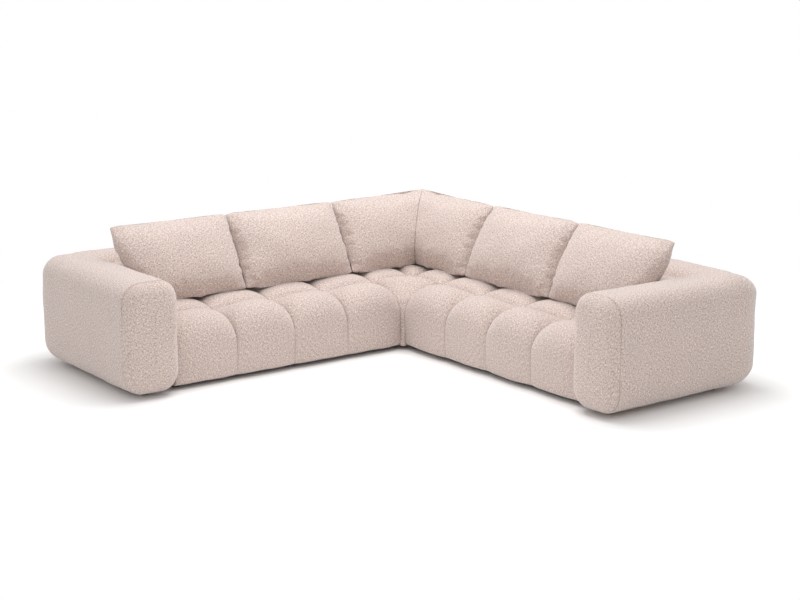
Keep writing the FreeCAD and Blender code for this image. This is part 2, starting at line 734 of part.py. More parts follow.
corner_slot = block(corner_in - gap, rail_frame_y1 + gap, rail_frame_y0 - gap, rail_frame_y1 + gap, 0, log_frame_top + gap)
corner_tools = [corner_slot] + mirrored([corner_slot]) + corner_holes
finish("corner_rail_cover", [corner_rail_form(0.0).cut(corner_rail_form(cover)).cut(corner_tools)])
finish("corner_rail_foam", [corner_rail_form(cover + gap).cut(corner_tools)])
corner_posts = [corner_in + board / 2.0, 0.55 * frame_back]
leg_a = log_frame(corner_in, rail_frame_y1, rail_frame_y0, rail_frame_y1, corner_posts + [rail_frame_y0 - board / 2.0])
leg_b = mirrored(log_frame(corner_in, rail_frame_y0, rail_frame_y0, rail_frame_y1, corner_posts))
finish("corner_rail_frame", cut_all(leg_a + leg_b, corner_holes))
finish("corner_feet", [foot(x, y) for x, y in corner_feet + [(rail_mid, rail_mid)]])
corner_cloth = block(corner_in, frame_back, corner_in, frame_back, underside, frame_low).cut(column)
cloth_holes = [cylinder(V(x, y, 0), V(0, 0, 1), foot_radius + gap, 2 * frame_low) for x, y in corner_feet]
finish("corner_dust_cloth", [corner_cloth.cut(cloth_holes)])

# Loose cushions
half_between = cushion_between / 2.0
outer_side, inner_side = cushion_share * seat_run, cushion_corner_side
arm_pair = cushion_pair((-seat_run + cushion_arm_low, -outer_side - half_between),
                        (-seat_run - cushion_arm_high, -outer_side - half_between), arm_side=True)
middle_span = (-outer_side + half_between, -inner_side - half_between)
corner_span = (-inner_side + half_between, cushion_full - inner_side)
middle_pair = cushion_pair(middle_span, middle_span)
corner_pair = cushion_pair(corner_span, corner_span, mitred=True)
for name, pair in (("arm", arm_pair), ("middle", middle_pair), ("corner", corner_pair)):
    both(name + "_cushion_cover", [pair[0]])
    both(name + "_cushion_filling", [pair[1]])
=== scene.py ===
# %% [markdown]
# # Corner sofa
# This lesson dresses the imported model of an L-shaped sofa. Two equal wings meet in a corner. Each has
# a padded log arm, a log back rail, a seat of tufted channels and three loose back cushions, all in one
# pale chenille weave. The frame comes first: it holds every part's place, and nothing here moves it.

# %% Load the frame
import json
import math
import bpy
import numpy as np
from mathutils import Matrix, Vector

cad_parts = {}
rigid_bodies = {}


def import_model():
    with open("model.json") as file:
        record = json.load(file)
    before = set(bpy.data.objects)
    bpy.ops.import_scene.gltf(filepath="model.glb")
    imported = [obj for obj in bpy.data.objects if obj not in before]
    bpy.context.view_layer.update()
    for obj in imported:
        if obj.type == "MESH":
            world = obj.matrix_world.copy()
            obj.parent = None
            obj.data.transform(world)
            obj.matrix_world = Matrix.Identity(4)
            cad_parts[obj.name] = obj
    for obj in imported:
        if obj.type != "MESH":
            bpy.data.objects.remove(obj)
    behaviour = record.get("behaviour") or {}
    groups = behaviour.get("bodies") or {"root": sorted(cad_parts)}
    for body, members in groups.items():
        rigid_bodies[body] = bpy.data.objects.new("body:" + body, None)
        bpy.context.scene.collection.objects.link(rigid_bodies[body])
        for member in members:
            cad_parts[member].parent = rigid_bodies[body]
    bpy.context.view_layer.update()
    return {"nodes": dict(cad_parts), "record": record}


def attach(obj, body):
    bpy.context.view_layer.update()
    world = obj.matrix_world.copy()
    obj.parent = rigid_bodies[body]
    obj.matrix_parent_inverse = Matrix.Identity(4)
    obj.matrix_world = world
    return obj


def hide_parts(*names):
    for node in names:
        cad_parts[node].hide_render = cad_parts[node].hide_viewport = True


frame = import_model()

nodes = frame["nodes"]

# %% [markdown]
# ## Where things are
# The sofa is laid out in millimetres from the inner corner, where the two seat fronts meet. The left
# wing runs along -X, and the right wing is the same with X and Y swapped. One helper turns those
# numbers into metres in the frame, so both wings come from one description.

# %% Sizes shared by the pieces
seat_run, arm_width, arm_top, rail_top = 1492.0, 322.0, 620.0, 606.0
underside, back_plane, rail_depth, rail_reach, arm_overhang = 24.0, 1062.0, 322.0, 150.0, 88.0
log_radius, rail_low_radius, front_radius, end_radius = 112.0, 91.0, 77.0, 215.0
corner_seam, cross_seam, pad_back = 20.0, 248.0, 565.0
seams = [-corner_seam] + [-share * seat_run for share in (0.2618, 0.5003, 0.7462)] + [-seat_run]
to_middle = (seat_run + arm_width - back_plane) / 2.0
wings = (("left", False), ("right", True))


def metres(points, right=False):
    points = np.asarray(points, float)
    if right:
        points = points[..., [1, 0, 2]]
    return (points + (to_middle, to_middle, 0.0)) / 1000.0


print("seams", [round(s, 1) for s in seams])

# %% [markdown]
# ## From rings to a closed skin
# Most upholstery here is a run of closed rings, like the ribs of a boat. A skin joins each ring to the
# next with four-sided faces, closes both ends, and turns its faces outwards by the sign of its volume.
# The weave must follow the cloth, so each skin also gets a UV map that is measured in metres along it.

# %% Skin helper
pieces = {}


def new_object(name, data):
    made = bpy.data.objects.new(name, data)
    bpy.context.scene.collection.objects.link(made)
    return made


def ring_at(x, outline):
    """A ring across X from an outline of Y and Z."""
    return np.stack([np.full(len(outline), x), outline[:, 0], outline[:, 1]], axis=1)


def ring_uv(rings, longest):
    step = np.linalg.norm(np.diff(rings, axis=1, append=rings[:, :1]), axis=2)
    around = np.concatenate([np.zeros((len(rings), 1)), np.cumsum(step, axis=1)], axis=1)
    around -= around[:, around.shape[1] // 2][:, None]
    gaps = np.linalg.norm(np.diff(rings, axis=0), axis=2)
    along = np.concatenate([[0.0], np.cumsum(gaps.max(axis=1) if longest else gaps.mean(axis=1))])
    return np.stack([around, np.repeat(along[:, None], around.shape[1], axis=1)], axis=2)


def shell(rings, flat_until=0, longest=False):
    """Vertices, faces and UV of one closed run of rings; the first ones may be mapped flat."""
    count, size = rings.shape[:2]
    i, j = np.meshgrid(np.arange(count - 1), np.arange(size), indexing="ij")
    i, j = i.ravel(), j.ravel()
    k = (j + 1) % size
    quads = np.stack([i * size + j, i * size + k, (i + 1) * size + k, (i + 1) * size + j], axis=1)
    uv = ring_uv(rings, longest)
    quad_uv = np.stack([uv[i, j], uv[i, j + 1], uv[i + 1, j + 1], uv[i + 1, j]], axis=1)
    points = np.concatenate([rings.reshape(-1, 3), rings[0].mean(0)[None], rings[-1].mean(0)[None]])
    flat = i < flat_until
    quad_uv[flat] = points[quads[flat]][..., [0, 2]]
    n = np.arange(size)
    first = np.stack([np.full(size, count * size), (n + 1) % size, n], axis=1)
    last_row = (count - 1) * size
    last = np.stack([np.full(size, count * size + 1), last_row + n, last_row + (n + 1) % size], axis=1)
    spread = np.ptp(rings[0], axis=0)
    cap_axes = sorted(np.argsort(-spread)[:2])
    caps = np.concatenate([first, last])
    cap_uv = points[caps][..., cap_axes]
    return points, quads, quad_uv / 1000.0, caps, cap_uv / 1000.0


def volume_of(points, quads, tris):
    a, b, c, d = (points[quads[:, q]] for q in range(4))
    total = np.einsum("ij,ij->", a, np.cross(b, c)) + np.einsum("ij,ij->", a, np.cross(c, d))
    a, b, c = (points[tris[:, q]] for q in range(3))
    return total + np.einsum("ij,ij->", a, np.cross(b, c))


def skin(name, shells, right=False, crease=50.0):
    """One mesh object of closed shells, each given as shell() returns it."""
    places, faces, uvs, start = [], [], [], 0
    for points, quads, quad_uv, caps, cap_uv in shells:
        world = metres(points, right)
        if volume_of(world, quads, caps) < 0:
            quads, quad_uv, caps, cap_uv = quads[:, ::-1], quad_uv[:, ::-1], caps[:, ::-1], cap_uv[:, ::-1]
        places.append(world)
        faces += (quads + start).tolist() + (caps + start).tolist()
        uvs += [quad_uv.reshape(-1, 2), cap_uv.reshape(-1, 2)]
        start += len(points)
    mesh = bpy.data.meshes.new(name)
    mesh.from_pydata(np.concatenate(places).tolist(), [], faces)
    mesh.uv_layers.new(name="weave").data.foreach_set("uv", np.concatenate(uvs).astype(np.float32).ravel())
    mesh.polygons.foreach_set("use_smooth", [True] * len(mesh.polygons))
    mesh.update()
    mesh.set_sharp_from_angle(angle=math.radians(crease))
    pieces[name] = new_object(name, mesh)
    return pieces[name]


square = np.array([(0.0, 0.0), (100.0, 0.0), (100.0, 100.0), (0.0, 100.0)])
cube = shell(np.array([ring_at(x, square) for x in (0.0, 100.0)]))
print("a 100 mm cube measures", abs(volume_of(cube[0], cube[1], cube[3])) / 6e6, "litres")


# %% [markdown]
# ## Softness
# Stuffed cloth is never as true as drawn geometry. Its surface wanders by up to about 3.5 mm over one
# or two hands' widths. A noise texture in a Displace modifier could do this; a sum of a few long waves along
# the surface's normals is as soft, repeats exactly on each run and needs no texture.

# %% Softness helper


def waves(points, size, height, seed):
    rng = np.random.default_rng(seed)
    total = np.zeros(points.shape[:-1])
    for _ in range(8):
        way = rng.normal(size=3)
        way /= np.linalg.norm(way)
        length = size * rng.uniform(0.7, 1.6)
        total += np.sin(points @ way * 2.0 * math.pi / length + rng.uniform(0.0, 2.0 * math.pi))
    return height * total / 2.0


def points_of(mesh, kind="co"):
    values = np.empty(len(mesh.vertices) * 3, np.float32)
    mesh.vertices.foreach_get(kind, values)
    return values.reshape(-1, 3).astype(float)


def set_points(mesh, place):
    mesh.vertices.foreach_set("co", np.asarray(place, np.float32).ravel())
    mesh.update()


def soften(piece, height, size, seed):
    """Moves each point along its normal by long, low waves."""
    place = points_of(piece.data)
    lift = waves(place, size, height, seed) + waves(place, size * 0.3, height * 0.3, seed + 1)
    set_points(piece.data, place + points_of(piece.data, "normal") * lift[:, None])


def even(a, b, count):
    return np.linspace(a, b, count)


def smooth_curve(xs, ys, at):
    """Cubic Hermite curve through the points, with slopes taken from their neighbours."""
    xs, ys, at = np.asarray(xs, float), np.asarray(ys, float), np.asarray(at, float)
    slope = np.gradient(ys, xs)
    i = np.clip(np.searchsorted(xs, at) - 1, 0, len(xs) - 2)
    width = xs[i + 1] - xs[i]
    t = np.clip((at - xs[i]) / width, 0.0, 1.0)
    return (ys[i] * (1 + 2 * t) * (1 - t) ** 2 + ys[i + 1] * t * t * (3 - 2 * t)
            + width * (slope[i] * t * (1 - t) ** 2 + slope[i + 1] * t * t * (t - 1)))


sample = waves(even(0.0, 3.0, 200)[:, None] * (1.0, 0.0, 0.0), 0.30, 1.4, 12)
print("waves of 1.4 mm move a point by up to", round(float(np.abs(sample).max()), 2), "mm")

# %% [markdown]
# ## Arms
# An arm is a timber box wrapped in foam and one long cloth, closed in front by a panel with an arched
# seam. A subdivision cage could give the round form; rings of a rounded rectangle give the radii of the
# photograph directly. Close to the front seam the rings draw in by a few millimetres, where the stitch
# pulls the cloth down.

# %% Arm rings


def rounded(a0, a1, z0, z1, radii, counts=(5, 14, 20)):
    """Closed ring of a rounded rectangle; it starts in the middle of its underside."""
    flat, bend, side = counts
    centres = [(a1 - radii[0], z0 + radii[0], -90.0), (a1 - radii[1], z1 - radii[1], 0.0),
               (a0 + radii[2], z1 - radii[2], 90.0), (a0 + radii[3], z0 + radii[3], 180.0)]
    arcs = []
    for (a, z, start), radius in zip(centres, radii):
        turn = np.radians(start + even(0.0, 90.0, bend))
        arcs.append(np.stack([a + radius * np.cos(turn), z + radius * np.sin(turn)], axis=1))
    middle = np.array([[(a0 + a1) / 2.0, z0]])

    def between(p, q, count):
        return p + (q - p) * even(0.0, 1.0, count + 2)[1:-1, None]

    return np.concatenate([
        middle, between(middle[0], arcs[0][0], flat), arcs[0], between(arcs[0][-1], arcs[1][0], side),
        arcs[1], between(arcs[1][-1], arcs[2][0], 2 * flat), arcs[2],
        between(arcs[2][-1], arcs[3][0], side), arcs[3], between(arcs[3][-1], middle[0], flat)])


groove_turn, mm_per_degree = 72.6, 1.34


def arm_rings():
    x0, x1, front = -(seat_run + arm_width), -seat_run, -arm_overhang
    rows = []
    for inset in (160.0, 152.0, 140.0, 125.0, 110.0, 97.0, 88.0, 82.0):
        share = (160.0 - inset) / (160.0 - front_radius)
        rows.append((front - 5.0 * (1.0 - share ** 2), inset))
    near_groove = [67.0, 69.0, 70.4, 71.4, 72.0, 72.6, 73.2, 73.8, 74.8, 76.2, 79.0, 84.0, 90.0]
    for turn in list(even(0.0, 64.0, 14)) + near_groove:
        bend = math.radians(turn)
        away = (turn - groove_turn) * mm_per_degree
        groove = 2.8 * math.exp(-(away / 1.3) ** 2) - 1.2 * math.exp(-((abs(away) - 9.0) / 5.0) ** 2)
        rows.append((front + front_radius * (1 - math.cos(bend)), front_radius * (1 - math.sin(bend)) + groove))
    rows += [(y, 0.0) for y in even(front + front_radius, back_plane - end_radius - 20.0, 34)[1:]]
    for turn in even(0.0, 72.0, 17):
        bend = math.radians(turn)
        rows.append((back_plane - end_radius * (1 - math.sin(bend)), end_radius * (1 - math.cos(bend))))
    rows += [(1054.0, 152.5), (1056.0, 156.0), (1057.0, 159.0)]
    rings = []
    for y, inset in rows:
        radius = max(log_radius - inset, 1.0)
        outline = rounded(x0 + inset, x1 - inset, underside + inset, arm_top - inset, [radius] * 4)
        rings.append(ring_at(y, outline)[:, [1, 0, 2]])
    return np.array(rings)


for side, right in wings:
    arm = skin(side + "_arm", [shell(arm_rings(), flat_until=13)], right=right)
    soften(arm, 0.0014, 0.30, 11 if right else 12)
    print(arm.name, len(arm.data.polygons), "faces")

# %% [markdown]
# ## Back rails
# Each wing's rail is a straight padded log that ends in a soft round behind the arm. The corner rail is
# the same log bent round the corner. Its rings share one section, and a ring's points move out on
# widening curves, because the outside of the bend is far rounder than the inside.

# %% Rail rings


def rail_outline(inset, depth0, depth1):
    top, low = max(log_radius - inset, 2.0), max(rail_low_radius - inset, 2.0)
    return rounded(depth0 + inset, depth1 - inset, underside + min(inset, 6.0), rail_top - inset,
                   [low, top, top, 2.0])


def rail_rings():
    y0, y1 = back_plane - rail_depth, back_plane
    x0, x1, radius = -seat_run - rail_reach, -corner_seam - 0.3, 85.0
    rows = [(x0 - 4.0 * (1 - ((160 - s) / 75.0) ** 2), s) for s in (160.0, 150.0, 135.0, 118.0, 102.0, 92.0)]
    for turn in np.radians(even(0.0, 90.0, 15)):
        rows.append((x0 + radius * (1 - math.cos(turn)), radius * (1 - math.sin(turn))))
    rows += [(x, 0.0) for x in even(x0 + radius, x1 - 6.0, 46)[1:]]
    rows += [(x1 - 6.0 + 6.0 * math.sin(t), 6.0 * (1 - math.cos(t))) for t in np.radians([20, 40, 60, 80, 90])]
    return np.array([ring_at(x, rail_outline(inset, y0, y1)) for x, inset in rows])


def corner_rail_rings():
    inner, start = back_plane - rail_depth, 0.3 - corner_seam
    turns = np.radians([90, 80, 60, 40, 20])
    rows = [("in", start + 6.0 * (1 - math.sin(t)), 6.0 * (1 - math.cos(t))) for t in turns]
    rows += [("run", share, 0.0) for share in even(0.0, 1.0, 22)]
    rows += [("bend", turn, 0.0) for turn in np.radians(even(0.0, 90.0, 25))[1:-1]]
    rows += [("back", share, 0.0) for share in even(1.0, 0.0, 22)]
    rows += [("out", a, s) for _, a, s in rows[4::-1]]
    rings = []
    for kind, value, inset in rows:
        outline = rail_outline(inset, 0.0, rail_depth)
        d, z = outline[:, 0], outline[:, 1]
        radius = 10.0 + 190.0 * d / rail_depth
        far = inner + d
        if kind in ("in", "out"):
            x, y = np.full(len(d), value), far
        elif kind == "bend":
            x, y = far - radius + radius * np.sin(value), far - radius + radius * np.cos(value)
        else:
            x, y = start + 6.0 + value * (far - radius - start - 6.0), far
        if kind in ("out", "back"):
            x, y = y, x
        rings.append(np.stack([x, y, z], axis=1))
    return np.array(rings)


for side, right in wings:
    rail = skin(side + "_rail", [shell(rail_rings())], right=right)
    soften(rail, 0.0014, 0.30, 21 if right else 22)
corner_rail = skin("corner_rail", [shell(corner_rail_rings(), longest=True)])
soften(corner_rail, 0.0014, 0.30, 23)
print("rails", [len(pieces[n].data.polygons) for n in ("left_rail", "right_rail", "corner_rail")])

# %% [markdown]
# ## Inner back pads
# Behind the loose cushions, the rails carry a plain pad that the cushions lean on. It shows only when a
# cushion is lifted away. Rounded sections do here too, with a tighter corner where it meets the seat.

# %% Back pads


back_pad_front, back_pad_back, back_pad_top, pads_low, end_round = 566.0, 739.7, 573.0, 262.3, 12.0


def back_pad_outline(inset):
    return rounded(back_pad_front + inset, back_pad_back - inset, pads_low + inset, back_pad_top - inset,
                   [12.0 - min(inset, 11.0), 14.0 - min(inset, 13.0), 50.0 - inset, 10.0 - min(inset, 9.0)],
                   (4, 10, 10))


def soft_end(edge, way=1.0):
    """Places from a pad's edge inwards, each with how far its outline is drawn in."""
    turns = np.radians([90, 70, 50, 30, 10])
    return [(edge + way * end_round * (1 - math.sin(t)), end_round * (1 - math.cos(t))) for t in turns]


def back_pad_rings():
    low, high = -seat_run + 0.6, -corner_seam - 0.3
    rows = soft_end(low) + [(x, 0.0) for x in even(low + end_round, high - end_round, 40)]
    rows += soft_end(high, -1.0)[::-1]
    return np.array([ring_at(x, back_pad_outline(inset)) for x, inset in rows])


def corner_back_pad_rings():
    start = 0.3 - corner_seam
    rows = [("end", a, s) for a, s in soft_end(start)] + [("run", share, 0.0) for share in even(0.0, 1.0, 20)]
    rings = []
    for kind, value, inset in rows:
        outline = back_pad_outline(inset)
        y = outline[:, 0]
        x = np.full(len(y), value) if kind == "end" else start + end_round + value * (y - start - end_round)
        rings.append(np.stack([x, y, outline[:, 1]], axis=1))
    # The other half is the mirror image, and the ring on the diagonal stays once.
    return np.array(rings + [ring[:, [1, 0, 2]] for ring in rings[-2::-1]])


for side, right in wings:
    soften(skin(side + "_inner_back_pad", [shell(back_pad_rings())], right=right), 0.0012, 0.25, 31)
soften(skin("corner_inner_back_pad", [shell(corner_back_pad_rings())]), 0.0012, 0.25, 32)
print("back pads", [name for name in pieces if name.endswith("back_pad")])

# %% [markdown]
# ## Seat channels
# The seat is one padded cloth, sewn down in tight seams. In front of each pair of seams a channel rolls
# over the edge and down to the floor. Between two seams it swells fast and then stays nearly flat, as
# stuffing does. A ring is one section from front to back, and its swell is a curve across the channel,
# so the seams come out as sharp valleys and the channels as tight pillows.

# %% Arcs


def arc_points(a, through, b, count):
    """Points on the circle from a over through to b; b is left out."""
    (ax, ay), (bx, by), (cx, cy) = a, through, b
    d = 2.0 * (ax * (by - cy) + bx * (cy - ay) + cx * (ay - by))
    a2, b2, c2 = ax * ax + ay * ay, bx * bx + by * by, cx * cx + cy * cy
    x = (a2 * (by - cy) + b2 * (cy - ay) + c2 * (ay - by)) / d
    y = (a2 * (cx - bx) + b2 * (ax - cx) + c2 * (bx - ax)) / d
    start, middle, end = (math.atan2(py - y, px - x) for px, py in (a, through, b))
    sweep = (end - start) % (2 * math.pi)
    if (middle - start) % (2 * math.pi) > sweep:
        sweep -= 2 * math.pi
    turn = start + sweep * even(0.0, 1.0, count + 1)[:-1]
    radius = math.hypot(ax - x, ay - y)
    return np.stack([x + radius * np.cos(turn), y + radius * np.sin(turn)], axis=1)


def tangent_arc(start, end, centre):
    """Start, a point on the way, and end of an arc that leaves end along the circle about centre."""
    nx, ny = centre[0] - end[0], centre[1] - end[1]
    size = math.hypot(nx, ny)
    nx, ny = nx / size, ny / size
    dx, dy = start[0] - end[0], start[1] - end[1]
    radius = (dx * dx + dy * dy) / (2.0 * (nx * dx + ny * dy))
    cx, cy = end[0] + radius * nx, end[1] + radius * ny
    mx, my = (start[0] + end[0]) / 2.0 - cx, (start[1] + end[1]) / 2.0 - cy
    size = math.hypot(mx, my)
    return start, (cx + abs(radius) * mx / size, cy + abs(radius) * my / size), end, (cx, cy)


print("half way round", arc_points((0.0, 1.0), (0.70710678, 0.70710678), (1.0, 0.0), 2)[1].round(3))

# %% [markdown]
# ## A channel's section
# A seam pulls the cloth down to a line and the stuffing lifts it in between, so one number from 0 to 1
# says how far a section is swollen. The front rolls over a circle. Arcs that leave it smoothly run down
# to the floor and back to the cross seam.

# %% Channel sections


def swell(share):
    """How far a channel has risen at a share of its width."""
    return np.maximum(1.0 - np.abs(2.0 * share - 1.0) ** 2.6, 0.0) ** 0.62


roll_y, roll_z, roll_radius, roll_turn = 113.0, 190.0, 113.0, 16.0


def channel_section(b, tuck=0.0):
    """A channel from front to back; b is 0 in its seams and 1 on its crown."""
    cy, cz, r = roll_y + 5.0 * b, roll_z + 60.0 * b, roll_radius + 30.0 * b - tuck
    turn = math.radians(roll_turn * (1.0 - b))
    half = (math.pi / 2 + turn) / 2.0
    front, crest = (cy - r, cz), (cy - r * math.sin(turn), cz + r * math.cos(turn))
    shoulder = (cy - r * math.sin(half), cz + r * math.cos(half))
    toe = (2.0 - 12.0 * b + tuck, underside + 28.0)
    q = 28.0 * (1.0 - math.cos(math.radians(45)))
    face = tangent_arc(toe, front, (cy, cz))
    brow = tangent_arc((230.0, 337.0 + 27.0 * b - tuck), crest, (cy, cz))
    end = (247.9, 336.0 + 8.0 * b - tuck)
    lip = tangent_arc(end, brow[0], brow[3])
    bottom = np.array([(47.0, underside), (38.0, underside)])
    return np.concatenate([
        bottom, arc_points((toe[0] + 28.0, underside), (toe[0] + q, underside + q), toe, 8),
        arc_points(face[0], face[1], face[2], 16), arc_points(front, shoulder, crest, 26),
        arc_points(brow[2], brow[1], brow[0], 18), arc_points(lip[2], lip[1], lip[0], 8),
        np.array([end, (247.9, 325.0), (247.9, 262.0), (150.0, 262.0), (47.0, 262.0), (47.0, 140.0)])])


def across_stations(count=34):
    return 0.5 * (1.0 - np.cos(math.pi * even(0.0, 1.0, count)))


def channel_rings(section, spans):
    rings = []
    for start, end in spans:
        for share in across_stations():
            b = float(swell(share))
            tuck = 5.0 if share in (0.0, 1.0) else 0.0
            rings.append(ring_at(start + share * (end - start), section(b, tuck)))
        if end != spans[-1][1]:
            rings.pop()
    return np.array(rings)


wing_spans = list(zip(seams[:-1], seams[1:]))
for side, right in wings:
    front_row = skin(side + "_channels", [shell(channel_rings(channel_section, wing_spans))], right=right)
    soften(front_row, 0.0010, 0.22, 41 if right else 42)
    print(front_row.name, len(front_row.data.polygons), "faces")

# %% [markdown]
# ## Second row
# Behind the cross seam lies a second row of lower pillows, which runs under the loose cushions. The
# same rings do, with a flatter section that rises from one curve in the seams to another on the crowns.

# %% Second row
pad_ys = (248.2, 272.0, 318.0, 375.0, 437.0, 500.0, 565.0)
pad_seam_zs = (336.0, 345.0, 353.0, 358.0, 358.0, 355.0, 350.0)
pad_dome_zs = (345.0, 374.0, 393.0, 398.0, 396.0, 391.0, 385.0)


def pad_section(b, tuck=0.0):
    ys = np.concatenate([even(248.2, 275.0, 12), even(275.0, 560.0, 26)[1:]])
    low, high = smooth_curve(pad_ys, pad_seam_zs, ys), smooth_curve(pad_ys, pad_dome_zs, ys)
    top = np.stack([ys, low + b * (high - low) - tuck], axis=1)
    z = top[-1, 1]
    rear = np.array([(563.5, z - 1.5), (565.0, z - 5.0), (565.0, 300.0), (565.0, pads_low), (400.0, pads_low),
                     (248.2, pads_low), (248.2, 320.0)])
    return np.concatenate([top, rear])


for side, right in wings:
    second_row = skin(side + "_pads", [shell(channel_rings(pad_section, wing_spans))], right=right)
    soften(second_row, 0.0010, 0.22, 43 if right else 44)
    print(second_row.name, len(second_row.data.polygons), "faces")

# %% [markdown]
# ## Corner tufts
# Where the wings meet, one diamond-shaped tuft narrows down to an upright strip. Its rings run across
# the diagonal, and each is a tight dome between the heights of the two seams beside it. A pad lies on
# either side of its point and one behind it.

# %% Corner tufts
side_reach, tuft_end = corner_seam - 0.3, cross_seam - 0.3
tuft_cs = (-20.0, 0.0, 60.0, 120.0, 180.0, 228.0, 300.0, 380.0, 440.0, 480.0)
tuft_tops = (192.0, 258.0, 318.0, 355.0, 382.0, 393.0, 390.0, 378.0, 365.0, 354.0)


def seam_height(y):
    """Height of the channels' seam at y behind the seat front."""
    turn = math.radians(roll_turn)
    crest_y, crest_z = roll_y - roll_radius * math.sin(turn), roll_z + roll_radius * math.cos(turn)
    if y < crest_y:
        return roll_z + math.sqrt(max(roll_radius ** 2 - (roll_y - y) ** 2, 0.0))
    return crest_z + (342.0 - crest_z) * (y - crest_y) / (cross_seam - crest_y)


def tuft_rings():
    rings = []
    low_end = [-19.6, -18.0, -14.0, -8.0, -2.0, 4.0, 12.0]
    for c in np.concatenate([low_end, even(22.0, 440.0, 44), even(446.0, 488.0, 8)]):
        half = min(c + 2.0 * side_reach, 2.0 * tuft_end - c) / math.sqrt(2.0)
        if c < tuft_end - side_reach:
            edge = seam_height(c + side_reach)
        else:
            edge = 337.0 + 8.0 * float(swell((c - tuft_end + side_reach) / (tuft_end + side_reach)))
        rise = max(float(smooth_curve(tuft_cs, tuft_tops, c)) - edge, 2.0)
        if c < 0:
            rise = max(rise, 10.0)
        w = half * np.cos(math.pi * even(1.0, 0.0, 37))
        top = edge + rise * np.maximum(1.0 - np.abs(w / half) ** 2.2, 0.0) ** 0.42
        pull = 6.0 * max(0.0, 1.0 - (c + 20.0) / 20.0)
        w_all = np.concatenate([w, [half] * 6, even(half, -half, 9)[1:-1], [-half] * 6])
        z_all = np.concatenate([top, even(edge, underside, 8)[1:-1], np.full(7, underside),
                                even(underside, edge, 8)[1:-1]])
        c_all = np.full(len(w_all), c) - pull * (1.0 - (np.abs(w_all) / half) ** 2)
        x, y = (c_all + w_all * math.sqrt(2.0)) / 2.0, (c_all - w_all * math.sqrt(2.0)) / 2.0
        rings.append(np.stack([x, y, z_all], axis=1))
    return np.array(rings)


def rear_rings():
    shares, swells = (0, 0.1, 0.24, 0.4, 0.6, 1.0), (0.0, 0.75, 1.0, 0.8, 0.65, 0.5)
    rings = []
    for share in np.concatenate([0.30 * across_stations(20), even(0.30, 1.0, 16)[1:]]):
        b = float(np.clip(smooth_curve(shares, swells, share), 0.0, 1.02))
        x = cross_seam + 0.2 + share * (pad_back - cross_seam - 0.2)
        rings.append(ring_at(x, pad_section(b)))
    return np.array(rings)


side_rings = channel_rings(pad_section, [(-side_reach, tuft_end)])
corner_seat = skin("corner_seat", [shell(tuft_rings()), shell(side_rings), shell(side_rings[..., [1, 0, 2]]),
                                   shell(rear_rings())])
soften(corner_seat, 0.0008, 0.22, 45)
print("corner seat", len(corner_seat.data.polygons), "faces")

# %% [markdown]
# ## Loose cushions
# Six feather-soft pillows lean on the rails, sewn flat at the edges and full in between. Each starts as a
# cage of rings from its foot to its top, a little slimmer than it ends, with its seams marked. Its foot
# sinks into the valleys between the pads. The wings' pillows are mirror images, so three cages do.

# %% Cushion cages
lean, cushion_height, seam_y, seam_z = math.radians(29.2), 455.0, 375.0, 400.5
split_side, corner_side = 0.55 * seat_run, 91.5
cage_columns, cage_rows, cage_slim = 60, 40, 0.97
arm_rows = ((0.0, 0.1, 0.28, 0.5, 0.72, 0.9, 1.0), (0.0, 0.0, 0.0, 0.62, 1.05, 1.02, 1.0))
cushion_spans = {
    "arm": (-seat_run + 6.0, -split_side - 1.5, -seat_run - 49.0),
    "middle": (-split_side + 1.5, -corner_side - 1.5, -split_side + 1.5),
    "corner": (-corner_side + 1.5, 730.0 - corner_side, -corner_side + 1.5),
}


def edge_wave(part, seed):
    place = np.stack([part * 455.0, part * 0.0, part * 0.0], axis=-1)
    return waves(place, 150.0, 0.7, seed) + waves(place, 40.0, 0.7, seed + 20)


def sag_between(x):
    """How far a cushion's foot sinks into the valley between two pads at x."""
    spans = wing_spans + [(-corner_seam, cross_seam), (cross_seam, pad_back)]
    drop = np.zeros_like(x)
    for a, b in spans:
        a, b = min(a, b), max(a, b)
        inside = (x >= a) & (x <= b)
        drop[inside] = 1.0 - swell((x[inside] - a) / (b - a))
    return drop


def cushion_rings(kind):
    low, inner, high = cushion_spans[kind]
    u = even(0.0, 1.0, cage_columns)
    u = u + 0.028 * np.sin(2 * math.pi * (u - 0.5)) * 0.9
    rings = []
    for part in even(0.0, 1.0, cage_rows):
        draw = 1.5 * 4.0 * part * (1.0 - part)
        if kind == "arm":
            shift = float(smooth_curve(arm_rows[0], arm_rows[1], part))
            x0 = low + shift * (high - low) + draw
        else:
            x0 = low + draw + float(edge_wave(np.array(part), 5 if kind == "middle" else 6))
        x1 = inner - draw + float(edge_wave(np.array(part), {"arm": 5, "middle": 6, "corner": 7}[kind]))
        ear = 1.4 * abs(2.0 * part - 1.0) ** 10
        x0, x1 = x0 - ear, x1 + ear
        full = max(1.0 - abs(2.0 * part - 1.0) ** 2.2, 0.0) ** 0.65
        thick = cage_slim * 97.0 * np.maximum(1.0 - np.abs(2.0 * u - 1.0) ** 2.6, 0.0) ** 0.488 * full + 1.2
        h = part * cushion_height
        h = h - 3.0 * max(2.0 * part - 1.0, 0.0) * np.sin(math.pi * u)
        x = x0 + u * (x1 - x0)
        h = h - 15.0 * math.exp(-((part / 0.16) ** 2)) * sag_between(x)
        if kind == "corner":
            h = h + 13.0 * part ** 4 * np.exp(-((x - 600.0) / 60.0) ** 2)
        front = np.stack([x, seam_y + h * math.sin(lean) - thick * math.cos(lean),
                          seam_z + h * math.cos(lean) + thick * math.sin(lean)], axis=1)
        back = np.stack([x, seam_y + h * math.sin(lean) + thick * math.cos(lean),
                         seam_z + h * math.cos(lean) - thick * math.sin(lean)], axis=1)
        rings.append(np.concatenate([front, back[::-1]]))
    return np.array(rings)


